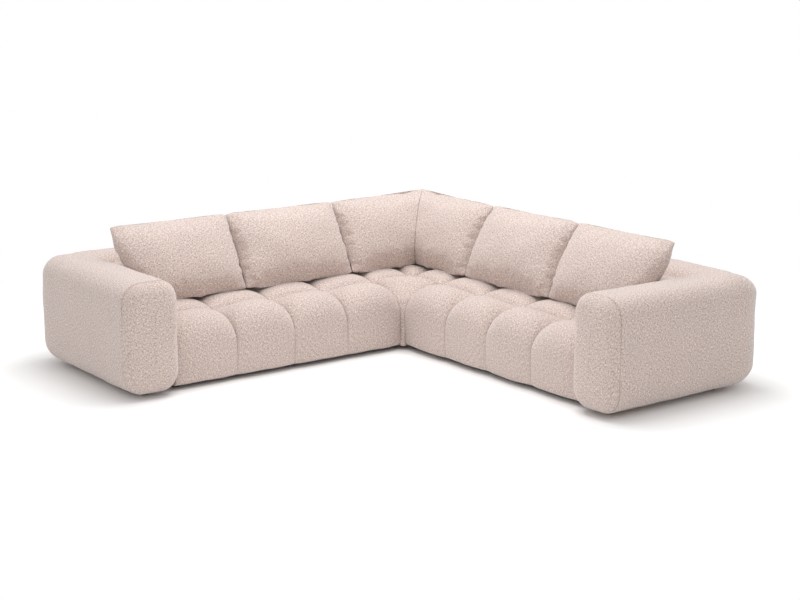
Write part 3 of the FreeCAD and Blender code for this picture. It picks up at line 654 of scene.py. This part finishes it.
for kind in cushion_spans:
    rings = cushion_rings(kind)
    pillow = skin("left_" + kind + "_cushion", [shell(rings)], crease=180.0)
    count, size = rings.shape[:2]
    seam = pillow.vertex_groups.new(name="seam")
    held = [i * size + j for i in range(count) for j in range(size)
            if i in (0, count - 1) or j in (0, size - 1, size // 2 - 1, size // 2)]
    seam.add(held + [count * size, count * size + 1], 1.0, "REPLACE")
    print(pillow.name, len(pillow.data.polygons), "faces")

# %% [markdown]
# ## Blow the cushions up
# A pillow's creases come from its stuffing, and a cloth simulation makes them better than drawn noise:
# the seams are pinned, the cloth is cut a little larger than its frame, and air pressure pushes it out
# until small puckers gather along the seams. No point may travel further than a cap.

# %% Blow the cushions up
cushion_cap = 0.009
cloth_values = {"quality": 5, "mass": 0.3, "tension_stiffness": 12.0, "compression_stiffness": 12.0,
                "shear_stiffness": 6.0, "bending_stiffness": 0.6, "use_pressure": True,
                "uniform_pressure_force": 4.0, "shrink_min": -0.035, "vertex_group_mass": "seam"}


def blow_up(names, frames=20):
    start = {}
    for name in names:
        piece = pieces[name]
        start[name] = points_of(piece.data)
        cloth = piece.modifiers.new("Cloth", "CLOTH")
        for key, value in cloth_values.items():
            setattr(cloth.settings, key, value)
        cloth.settings.effector_weights.gravity = 0.0
        cloth.collision_settings.use_collision = False
        cloth.point_cache.frame_end = frames
    for step in range(1, frames + 1):
        bpy.context.scene.frame_set(step)
    graph = bpy.context.evaluated_depsgraph_get()
    for name in names:
        piece = pieces[name]
        blown = points_of(piece.evaluated_get(graph).data)
        travel = blown - start[name]
        size = np.linalg.norm(travel, axis=1)
        travel *= np.minimum(1.0, cushion_cap / np.maximum(size, 1e-9))[:, None]
        piece.modifiers.clear()
        set_points(piece.data, start[name] + travel)
        print(name, "travelled", round(float(size.max()) * 1000, 1), "mm")
    bpy.context.scene.frame_set(1)


blow_up(["left_" + kind + "_cushion" for kind in cushion_spans])

# %% [markdown]
# ## Cushions, finished
# One subdivision smooths each cage. Then the corner pillows are pressed on each other along the
# diagonal, where a soft limit rounds the crease, and the right wing gets its mirror images.

# %% Corner crease and mirror copies


def press_on_diagonal(place, spare=0.0008, soft=0.010):
    away = (place[:, 1] - place[:, 0]) / math.sqrt(2.0) - spare
    rest = 0.5 * (away + np.sqrt(away ** 2 + soft ** 2)) - 0.5 * soft * np.exp(-np.maximum(away, 0) / soft)
    move = np.maximum(rest, 0.0) - away
    way = np.array([-1.0, 1.0, 0.0]) / math.sqrt(2.0)
    return place + way * move[:, None]


def applied(piece):
    """Swaps the piece's mesh for what its modifiers make of it, and takes them off."""
    graph = bpy.context.evaluated_depsgraph_get()
    mesh = bpy.data.meshes.new_from_object(piece.evaluated_get(graph))
    piece.modifiers.clear()
    old, piece.data = piece.data, mesh
    bpy.data.meshes.remove(old)
    return piece


def subdivided(piece):
    smooth = piece.modifiers.new("Smooth", "SUBSURF")
    smooth.levels = smooth.render_levels = 1
    smooth.boundary_smooth = "PRESERVE_CORNERS"
    return applied(piece)


def mirror_copy(piece, name):
    mesh = piece.data.copy()
    place = points_of(mesh)
    set_points(mesh, place[:, [1, 0, 2]])
    mesh.flip_normals()
    pieces[name] = new_object(name, mesh)


for kind in cushion_spans:
    pillow = subdivided(pieces["left_" + kind + "_cushion"])
    soften(pillow, 0.0012, 0.16, 51 + len(kind))
    if kind == "corner":
        set_points(pillow.data, press_on_diagonal(points_of(pillow.data)))
    pillow.data.set_sharp_from_angle(angle=math.radians(75))
    pillow.vertex_groups.clear()
    mirror_copy(pillow, "right_" + kind + "_cushion")
    print(pillow.name, len(pillow.data.polygons), "faces")

# %% [markdown]
# ## Dust cloths
# A thin black cloth is stapled under each module. It hangs a little between its staples, so it is a
# shallow sheet with a real thickness.

# %% Dust cloths


def cloth_sheet(name, x0, x1, y0, y1, right=False):
    rows = []
    xs, ys = even(x0, x1, 60), even(y0, y1, 30)
    for x in xs:
        sag = 3.0 * math.sin(math.pi * (x - x0) / (x1 - x0)) * np.abs(np.sin(math.pi * (ys - y0) / (y1 - y0)))
        low = np.stack([np.full(30, x), ys, 24.2 - sag], axis=1)
        high = np.stack([np.full(30, x), ys[::-1], 25.0 - sag[::-1]], axis=1)
        rows.append(np.concatenate([low, high]))
    return skin(name, [shell(np.array(rows))], right=right)


for side, right in wings:
    cloth_sheet(side + "_under_cloth", -1491.7, -20.3, 47.3, 741.7, right)
cloth_sheet("corner_under_cloth", -19.7, 741.7, 47.3, 741.7)
print("dust cloths", [name for name in pieces if name.endswith("under_cloth")])

# %% [markdown]
# ## Node trees for what repeats
# Springs, staples, zip teeth and stitches all follow a line. Geometry Nodes fit here: a bare line of
# points goes in, and either a tube is swept along it or a small shape is set on it at even steps. The
# sizes are named inputs, and the result is turned into a plain mesh.

# %% Node tree builders


def add_node(tree, kind, place, **values):
    node = tree.nodes.new(kind)
    node.location = place
    for key, value in values.items():
        setattr(node, key, value)
    return node


def new_tree(name, inputs):
    tree = bpy.data.node_groups.new(name, "GeometryNodeTree")
    tree.interface.new_socket("Geometry", in_out="INPUT", socket_type="NodeSocketGeometry")
    for label, kind in inputs:
        tree.interface.new_socket(label, in_out="INPUT", socket_type=kind)
    tree.interface.new_socket("Geometry", in_out="OUTPUT", socket_type="NodeSocketGeometry")
    return tree, add_node(tree, "NodeGroupInput", (-800, 0)), add_node(tree, "NodeGroupOutput", (900, 0))


def join(tree, *pairs):
    for source, target in pairs:
        tree.links.new(source, target)


def end_tree(tree, geometry, group_in, group_out):
    realize = add_node(tree, "GeometryNodeRealizeInstances", (500, 0))
    paint = add_node(tree, "GeometryNodeSetMaterial", (700, 0))
    join(tree, (geometry, realize.inputs[0]), (realize.outputs[0], paint.inputs["Geometry"]),
         (group_in.outputs["Material"], paint.inputs["Material"]), (paint.outputs[0], group_out.inputs[0]))
    return tree


def wire_tree():
    tree, group_in, group_out = new_tree("Wire along a line", (
        ("Radius", "NodeSocketFloat"), ("Sides", "NodeSocketInt"), ("Material", "NodeSocketMaterial")))
    line = add_node(tree, "GeometryNodeMeshToCurve", (-500, 0))
    circle = add_node(tree, "GeometryNodeCurvePrimitiveCircle", (-500, -200))
    sweep = add_node(tree, "GeometryNodeCurveToMesh", (-200, 0))
    sweep.inputs["Fill Caps"].default_value = True
    shade = add_node(tree, "GeometryNodeSetShadeSmooth", (100, 0))
    join(tree, (group_in.outputs["Geometry"], line.inputs[0]),
         (group_in.outputs["Radius"], circle.inputs["Radius"]),
         (group_in.outputs["Sides"], circle.inputs["Resolution"]), (line.outputs[0], sweep.inputs["Curve"]),
         (circle.outputs[0], sweep.inputs["Profile Curve"]), (sweep.outputs[0], shade.inputs[0]))
    return end_tree(tree, shade.outputs[0], group_in, group_out)


def row_tree():
    tree, group_in, group_out = new_tree("Shapes set along a line", (
        ("Spacing", "NodeSocketFloat"), ("Size", "NodeSocketVector"), ("Material", "NodeSocketMaterial")))
    line = add_node(tree, "GeometryNodeMeshToCurve", (-600, 0))
    spread = add_node(tree, "GeometryNodeCurveToPoints", (-400, 0), mode="LENGTH")
    shape = add_node(tree, "GeometryNodeMeshCube", (-400, -300))
    place = add_node(tree, "GeometryNodeInstanceOnPoints", (100, 0))
    join(tree, (group_in.outputs["Geometry"], line.inputs[0]), (line.outputs[0], spread.inputs[0]),
         (group_in.outputs["Spacing"], spread.inputs["Length"]), (group_in.outputs["Size"], shape.inputs["Size"]),
         (spread.outputs["Points"], place.inputs["Points"]),
         (spread.outputs["Rotation"], place.inputs["Rotation"]), (shape.outputs[0], place.inputs["Instance"]))
    return end_tree(tree, place.outputs[0], group_in, group_out)


def along_lines(name, lines, tree, values):
    """Runs a tree on lines of points in metres and keeps the result as a plain mesh."""
    mesh = bpy.data.meshes.new(name)
    points, edges = [], []
    for line in lines:
        first = len(points)
        points += np.asarray(line).tolist()
        edges += [(first + i, first + i + 1) for i in range(len(line) - 1)]
    mesh.from_pydata(points, edges, [])
    pieces[name] = piece = new_object(name, mesh)
    mod = piece.modifiers.new("Tree", "NODES")
    mod.node_group = tree
    for item in tree.interface.items_tree:
        if item.item_type == "SOCKET" and item.in_out == "INPUT" and item.name in values:
            mod[item.identifier] = values[item.name]
    applied(piece)
    print(name, len(piece.data.polygons), "faces")


wire, row = wire_tree(), row_tree()
print("trees", wire.name, "and", row.name)

# %% [markdown]
# ## Finishes
# The cover is a chenille: thick, fuzzy threads cross in a plain weave, and short thicker stretches in
# both directions give it a speckled look. Two node groups make this. One reads the cloth's own map and
# puts out the threads' tint and height; the other reads the object's coordinates and puts out slow,
# broad changes, which wood, felt, steel and plastic use as well.

# %% Effect groups


def shader_group(name, inputs, outputs):
    group = bpy.data.node_groups.new(name, "ShaderNodeTree")
    for label, kind, value in inputs:
        socket = group.interface.new_socket(label, in_out="INPUT", socket_type=kind)
        if value is not None:
            socket.default_value = value
    for label in outputs:
        group.interface.new_socket(label, in_out="OUTPUT", socket_type="NodeSocketFloat")
    return group, add_node(group, "NodeGroupInput", (-900, 0)), add_node(group, "NodeGroupOutput", (900, 0))


def maths(tree, kind, a, b, place=(0, 0)):
    node = add_node(tree, "ShaderNodeMath", place, operation=kind)
    for socket, value in zip(node.inputs, (a, b)):
        if isinstance(value, (int, float)):
            socket.default_value = value
        else:
            tree.links.new(value, socket)
    return node.outputs[0]


def stretched_noise(tree, vector, scale, detail, place):
    mapping = add_node(tree, "ShaderNodeMapping", place)
    mapping.inputs["Scale"].default_value = scale
    noise = add_node(tree, "ShaderNodeTexNoise", (place[0] + 200, place[1]))
    noise.inputs["Scale"].default_value = 1.0
    noise.inputs["Detail"].default_value = detail
    tree.links.new(vector, mapping.inputs["Vector"])
    tree.links.new(mapping.outputs[0], noise.inputs["Vector"])
    return noise.outputs["Fac"]


def weave_group():
    group, group_in, group_out = shader_group("Chenille weave", (
        ("Vector", "NodeSocketVector", None), ("Threads", "NodeSocketFloat", 380.0), ("Slub", "NodeSocketFloat", 0.5),
        ("Speckle", "NodeSocketFloat", 0.30)), ("Tint", "Height"))
    vector = group_in.outputs["Vector"]
    warp = stretched_noise(group, vector, (250.0, 90.0, 1.0), 2.0, (-700, 500))
    weft = stretched_noise(group, vector, (90.0, 250.0, 1.0), 2.0, (-700, 200))
    fine = stretched_noise(group, vector, (620.0, 620.0, 1.0), 1.0, (-700, -100))
    split = add_node(group, "ShaderNodeSeparateXYZ", (-700, -400))
    group.links.new(vector, split.inputs[0])
    turns = maths(group, "MULTIPLY", group_in.outputs["Threads"], 2.0 * math.pi)
    across = maths(group, "SINE", maths(group, "MULTIPLY", split.outputs[0], turns), 0.0)
    along = maths(group, "SINE", maths(group, "MULTIPLY", split.outputs[1], turns), 0.0)
    knots = maths(group, "MULTIPLY", across, along)
    slubs = maths(group, "SUBTRACT", maths(group, "ADD", warp, weft), 1.0)
    tint = maths(group, "MULTIPLY", slubs, group_in.outputs["Slub"])
    specks = maths(group, "MULTIPLY", maths(group, "SUBTRACT", fine, 0.5), group_in.outputs["Speckle"])
    tint = maths(group, "ADD", maths(group, "ADD", tint, specks), maths(group, "MULTIPLY", knots, 0.02))
    group.links.new(maths(group, "ADD", tint, 1.0), group_out.inputs["Tint"])
    height = maths(group, "ADD", maths(group, "MULTIPLY", knots, 0.35), maths(group, "MULTIPLY", slubs, 1.6))
    group.links.new(maths(group, "ADD", height, fine), group_out.inputs["Height"])
    return group


def mottle_group():
    group, group_in, group_out = shader_group("Broad mottle", (
        ("Vector", "NodeSocketVector", None), ("Scale", "NodeSocketFloat", 8.0), ("Strength", "NodeSocketFloat", 0.1)),
        ("Tint",))
    noise = add_node(group, "ShaderNodeTexNoise", (-300, 0))
    noise.inputs["Detail"].default_value = 3.0
    group.links.new(group_in.outputs["Vector"], noise.inputs["Vector"])
    group.links.new(group_in.outputs["Scale"], noise.inputs["Scale"])
    part = maths(group, "MULTIPLY", maths(group, "SUBTRACT", noise.outputs["Fac"], 0.5), group_in.outputs["Strength"])
    group.links.new(maths(group, "ADD", part, 1.0), group_out.inputs["Tint"])
    return group


weave, mottle = weave_group(), mottle_group()
print("effects", weave.name, "and", mottle.name)

# %% [markdown]
# ## Material builders
# A material here is a colour, a roughness and the effects that tint and dent it. Cloth reads the weave
# through the piece's own map. Everything grained reads a noise in the object's place, stretched where
# the grain runs, as in the pine boards.

# %% Material builders


def material(name, colour, roughness, metallic=0.0):
    made = bpy.data.materials.new(name)
    made.use_nodes = True
    made.diffuse_color = (*colour, 1.0)
    shader = made.node_tree.nodes["Principled BSDF"]
    shader.inputs["Roughness"].default_value = roughness
    shader.inputs["Metallic"].default_value = metallic
    return made, made.node_tree, shader


def use_group(tree, group, place, **values):
    node = add_node(tree, "ShaderNodeGroup", place, node_tree=group)
    for label, value in values.items():
        node.inputs[label].default_value = value
    return node


def tinted(tree, colour, *tints):
    """The colour multiplied by each tint, ready for Base Color."""
    vector = add_node(tree, "ShaderNodeVectorMath", (-300, 300), operation="SCALE")
    vector.inputs[0].default_value = colour
    total = tints[0]
    for tint in tints[1:]:
        total = maths(tree, "MULTIPLY", total, tint, (-500, 300))
    tree.links.new(total, vector.inputs["Scale"])
    return vector.outputs[0]


def bump(tree, shader, height, distance, strength):
    node = add_node(tree, "ShaderNodeBump", (-300, -200))
    node.inputs["Distance"].default_value = distance
    node.inputs["Strength"].default_value = strength
    tree.links.new(height, node.inputs["Height"])
    tree.links.new(node.outputs[0], shader.inputs["Normal"])


def cloth_material(name, colour, slub, threads, sheen):
    made, tree, shader = material(name, colour, 0.92)
    place = add_node(tree, "ShaderNodeTexCoord", (-1100, 0))
    threads_node = use_group(tree, weave, (-800, 100), Threads=threads, Slub=slub)
    broad = use_group(tree, mottle, (-800, -200), Scale=5.0, Strength=0.10)
    tree.links.new(place.outputs["UV"], threads_node.inputs["Vector"])
    tree.links.new(place.outputs["Object"], broad.inputs["Vector"])
    base = tinted(tree, colour, threads_node.outputs["Tint"], broad.outputs["Tint"])
    tree.links.new(base, shader.inputs["Base Color"])
    shader.inputs["Sheen Weight"].default_value = sheen
    shader.inputs["Sheen Roughness"].default_value = 0.45
    shader.inputs["Specular IOR Level"].default_value = 0.2
    bump(tree, shader, threads_node.outputs["Height"], 0.0012, 0.5)
    return made


def grained_material(name, colour, roughness, scale, strength, stretch=(1.0, 1.0, 1.0), metallic=0.0, depth=0.0004):
    made, tree, shader = material(name, colour, roughness, metallic)
    place = add_node(tree, "ShaderNodeTexCoord", (-1300, 0))
    grain = stretched_noise(tree, place.outputs["Object"], tuple(scale * s for s in stretch), 4.0, (-1100, 200))
    grain_tint = maths(tree, "ADD", maths(tree, "MULTIPLY", maths(tree, "SUBTRACT", grain, 0.5), strength), 1.0)
    broad = use_group(tree, mottle, (-800, -200), Scale=9.0, Strength=strength * 0.6)
    tree.links.new(place.outputs["Object"], broad.inputs["Vector"])
    tree.links.new(tinted(tree, colour, grain_tint, broad.outputs["Tint"]), shader.inputs["Base Color"])
    bump(tree, shader, grain, depth, 0.4)
    return made


print("builders for cloth and for grained stuff")

# %% [markdown]
# ## The six finishes
# One pale chenille covers the whole sofa. Its thread is a little darker, so that the stitches just show.
# Felt, pine, zinc-coated steel and moulded plastic show only from below or when a cushion is lifted.

# %% Materials
chenille = cloth_material("chenille_cover", (0.565, 0.462, 0.419), 1.75, 380.0, 0.5)
thread = cloth_material("sewing_thread", (0.50, 0.41, 0.37), 0.10, 900.0, 0.10)
felt = grained_material("black_dust_cloth", (0.022, 0.022, 0.024), 0.95, 900.0, 0.5)
pine = grained_material("pine_boards", (0.58, 0.38, 0.20), 0.62, 60.0, 0.5, (1.0, 1.0, 0.12))
zinc = grained_material("zinc_steel", (0.56, 0.57, 0.58), 0.34, 420.0, 0.25, metallic=1.0, depth=0.0001)
moulded = grained_material("moulded_feet", (0.028, 0.027, 0.026), 0.48, 500.0, 0.3, depth=0.0002)
print("materials", len(bpy.data.materials))

# %% [markdown]
# ## Springs
# Each zigzag spring of the seat is one bent wire. A curve with a bevel could draw it; the wire tree does
# the same from a line of points, and one call makes all springs of a wing.

# %% Springs


def spring_line(x, y0, y1, turn=17.0, half=24.0, z=192.8):
    count = int((y1 - y0 - 4.0 * turn) / (2.0 * turn))
    lead = (y1 - y0 - 2.0 * turn * (count + 1)) / 2.0
    points = [(x, y0), (x, y0 + lead)]
    y = y0 + lead + turn
    bends = np.radians(even(0, 180, 7))
    points += [(x + turn * (1 - math.cos(a)), y - turn + turn * math.sin(a)) for a in bends[1:4]]
    way = 1
    for _ in range(count):
        end = x + way * half
        points += [(end + way * turn * math.sin(a), y + turn - turn * math.cos(a)) for a in bends]
        y += 2.0 * turn
        way = -way
    points += [(x - way * turn + way * turn * math.sin(a), y + turn - turn * math.cos(a)) for a in bends[:4]]
    points.append((x, y1))
    return np.array([(px, py, z) for px, py in points])


spring_gap = 145.0


def spring_lines(first, count, y0, y1, right=False):
    return [metres(spring_line(first + i * spring_gap, y0 - 7.0, y1 + 7.0), right) for i in range(count)]


wire_values = {"Radius": 0.0019, "Sides": 8, "Material": zinc}
spring_first = -1491.7 + (1491.7 - 20.3 - 9 * spring_gap) / 2.0
for side, right in wings:
    along_lines(side + "_springs", spring_lines(spring_first, 10, 57.3, 729.7, right), wire, wire_values)
along_lines("corner_zigzag_springs", spring_lines(150.0, 4, -9.7, 729.7), wire, wire_values)

# %% [markdown]
# ## Staples, zips and stitches
# Staples hold the dust cloths, a hidden zip closes each cushion along its lower seam, and a line of
# stitches holds the arch of each arm's front panel. Each is one small block set at even steps.

# %% Staples, zips and stitches


staple_front, staple_back, staple_z = 57.0, 732.0, 23.9
staple_values = {"Spacing": 0.055, "Size": (0.0012, 0.0012, 0.010), "Material": zinc}


def staple_line(x0, x1):
    corners = [(x0, staple_front), (x1, staple_front), (x1, staple_back), (x0, staple_back)]
    points = [np.array([*corner, staple_z]) for corner in corners + corners[:1]]
    return np.concatenate([p + (q - p) * even(0, 1, 12)[:, None] for p, q in zip(points[:-1], points[1:])])


for side, right in wings:
    along_lines(side + "_staples", [metres(staple_line(-1482.0, -30.0), right)], row, staple_values)
along_lines("corner_staples", [metres(staple_line(-10.0, 732.0))], row, staple_values)

zip_values = {"Spacing": 0.0028, "Size": (0.0042, 0.0022, 0.0015), "Material": moulded}
for kind, (low, inner, _) in cushion_spans.items():
    last = inner - 40.0 if kind != "corner" else 330.0
    zip_line = np.stack([even(low + 40.0, last, 30), np.full(30, seam_y + 1.5), np.full(30, seam_z - 1.0)], axis=1)
    for side, right in wings:
        along_lines(side + "_" + kind + "_zip", [metres(zip_line, right)], row, zip_values)

stitch_values = {"Spacing": 0.0075, "Size": (0.0011, 0.0011, 0.0055), "Material": thread}
seam_inset = front_radius * (1 - math.sin(math.radians(groove_turn))) + 1.6
seam_front = front_radius * (1 - math.cos(math.radians(groove_turn))) - arm_overhang
arch = rounded(-(seat_run + arm_width) + seam_inset, -seat_run - seam_inset, underside + seam_inset,
               arm_top - seam_inset, [log_radius - seam_inset] * 4)
arch = ring_at(seam_front, arch)[8:-8, [1, 0, 2]]
for side, right in wings:
    along_lines(side + "_arm_stitches", [metres(arch, right)], row, stitch_values)

# %% [markdown]
# ## Everything rides on its body
# Each piece takes its finish, hides the solids it stands for, and rides on the body that carries it.

# %% Finish and ride
for piece in pieces.values():
    if not piece.data.materials:
        piece.data.materials.append(felt if piece.name.endswith("under_cloth") else chenille)

replaced = {
    "_arm": ("_arm_cover", "_arm_front_panel", "_arm_foam"), "_rail": ("_rail_cover", "_rail_foam"),
    "_channels": ("_front_channels", "_seat_foam"), "_pads": ("_seat_pads",), "_inner_back_pad": ("_back_pad",),
    "_under_cloth": ("_dust_cloth",), "_springs": ("_seat_springs",),
}
for side in ("left", "right"):
    for tail, stands_for in replaced.items():
        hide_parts(*[side + name for name in stands_for])
    for kind in cushion_spans:
        name = side + "_" + kind + "_cushion"
        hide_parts(name + "_cover", name + "_filling")
        for tail in ("_cushion", "_zip"):
            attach(pieces[side + "_" + kind + tail], name)
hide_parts("corner_rail_cover", "corner_rail_foam")
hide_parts("corner_seat_pads", "corner_seat_foam")
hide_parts("corner_back_pad")
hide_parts("corner_dust_cloth")
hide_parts("corner_springs")
for name, piece in pieces.items():
    if piece.parent is None:
        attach(piece, "sofa")
    if name.endswith("under_cloth"):
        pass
    elif "spring" in name or "staples" in name:
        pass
    elif name.endswith("_zip"):
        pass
    else:
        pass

slot_finish = {"timber": pine, "steel": zinc, "plastic": moulded, "dust_cloth": felt}
slots = {part["node"]: part["material_slot"] for part in frame["record"]["subparts"]}
for name, node in nodes.items():
    if not node.hide_render:
        if not node.material_slots:
            node.data.materials.append(slot_finish[slots[name]])
        for holder in node.material_slots:
            holder.material = slot_finish[slots[name]]
print("pieces", len(pieces), "kept nodes", sum(not n.hide_render for n in nodes.values()))

# %% [markdown]
# ## Camera
# The camera stands where the photograph was taken, well above the sofa and across the corner. Its place
# and focal length were solved from the equal channels, the right angle between the wings and the arms.

# %% Camera


def aim(thing, place, forward, up=(0.0, 0.0, 1.0)):
    forward = Vector(forward).normalized()
    side = forward.cross(Vector(up)).normalized()
    over = side.cross(forward)
    turn = Matrix((side, over, -forward)).transposed().to_4x4()
    thing.matrix_world = Matrix.Translation(Vector(place)) @ turn


yaw, pitch = math.radians(53.225), math.radians(12.643)
film_width, focal_pixels, frame_pixels = 36.0, 1632.7, 800.0
camera = new_object("camera", bpy.data.cameras.new("camera"))
camera.data.sensor_width = film_width
camera.data.lens = film_width * focal_pixels / frame_pixels
camera.data.clip_end = 100.0
aim(camera, (-5.1275, -6.956, 2.3485),
    (math.cos(yaw) * math.cos(pitch), math.sin(yaw) * math.cos(pitch), -math.sin(pitch)))
bpy.context.scene.camera = camera
print("lens", round(camera.data.lens, 2), "mm")

# %% [markdown]
# ## Floor
# The ground is white and endless, with a soft shadow close to the sofa. Far away the floor turns into
# plain white light, but only for the camera's own rays, so that it doesn't light the sofa.

# %% Floor
shadow_reach, white_reach, half_floor = 1.9, 3.6, 30
floor_mesh = bpy.data.meshes.new("floor")
floor_corners = [(x * half_floor, y * half_floor, 0) for x, y in ((-1, -1), (1, -1), (1, 1), (-1, 1))]
floor_mesh.from_pydata(floor_corners, [], [(0, 1, 2, 3)])
floor = new_object("floor", floor_mesh)
floor_paint, tree, shader = material("white_floor", (0.92, 0.92, 0.92), 0.9)
shader.inputs["Base Color"].default_value = (0.92, 0.92, 0.92, 1.0)
shader.inputs["Specular IOR Level"].default_value = 0.0
spot = add_node(tree, "ShaderNodeTexCoord", (-900, 0))
reach = add_node(tree, "ShaderNodeVectorMath", (-700, 0), operation="LENGTH")
fade = add_node(tree, "ShaderNodeMapRange", (-500, 0), interpolation_type="SMOOTHSTEP")
fade.inputs["From Min"].default_value, fade.inputs["From Max"].default_value = shadow_reach, white_reach
ray = add_node(tree, "ShaderNodeLightPath", (-500, -300))
blank = add_node(tree, "ShaderNodeEmission", (0, -300))
blend = add_node(tree, "ShaderNodeMixShader", (300, 0))
far_and_seen = maths(tree, "MULTIPLY", fade.outputs[0], ray.outputs["Is Camera Ray"])
join(tree, (spot.outputs["Object"], reach.inputs[0]), (reach.outputs["Value"], fade.inputs["Value"]),
     (far_and_seen, blend.inputs[0]), (shader.outputs[0], blend.inputs[1]), (blank.outputs[0], blend.inputs[2]),
     (blend.outputs[0], tree.nodes["Material Output"].inputs["Surface"]))
floor_mesh.materials.append(floor_paint)
print("floor turns white from", shadow_reach, "to", white_reach, "m")

# %% [markdown]
# ## Light
# A catalogue picture: soft light from all round, a wide lamp over the seat and a weak one beside the
# camera. The camera sees a pure white sky, and the cloth is lit by a slightly dimmer one; a switch on
# the kind of ray keeps the two apart.

# %% World and lamps
world = bpy.data.worlds.new("studio")
bpy.context.scene.world = world
world.use_nodes = True
tree = world.node_tree
seen, glow = tree.nodes["Background"], add_node(tree, "ShaderNodeBackground", (0, -200))
for node, strength in ((seen, 1.0), (glow, 0.83)):
    node.inputs["Color"].default_value = (1.0, 1.0, 1.0, 1.0)
    node.inputs["Strength"].default_value = strength
path = add_node(tree, "ShaderNodeLightPath", (-400, 200))
either = maths(tree, "MAXIMUM", path.outputs["Is Camera Ray"], path.outputs["Is Glossy Ray"], (-200, 200))
either = maths(tree, "MAXIMUM", either, path.outputs["Is Transmission Ray"], (-100, 200))
mix = add_node(tree, "ShaderNodeMixShader", (200, 0))
join(tree, (either, mix.inputs[0]), (glow.outputs[0], mix.inputs[1]), (seen.outputs[0], mix.inputs[2]),
     (mix.outputs[0], tree.nodes["World Output"].inputs["Surface"]))


def soft_lamp(name, place, size, power):
    lamp = bpy.data.lights.new(name, "AREA")
    lamp.size, lamp.energy = size, power
    aim(new_object(name, lamp), place, Vector((0.0, 0.0, 0.3)) - Vector(place), up=(0.0, 1.0, 0.01))


soft_lamp("over_lamp", (0.4, 0.4, 4.6), 3.4, 165.0)
soft_lamp("front_lamp", (-4.4, -4.8, 3.0), 3.0, 14.0)
bpy.context.scene.view_settings.view_transform = "Standard"
print("lamps", [(lamp.name, lamp.energy) for lamp in bpy.data.lights])
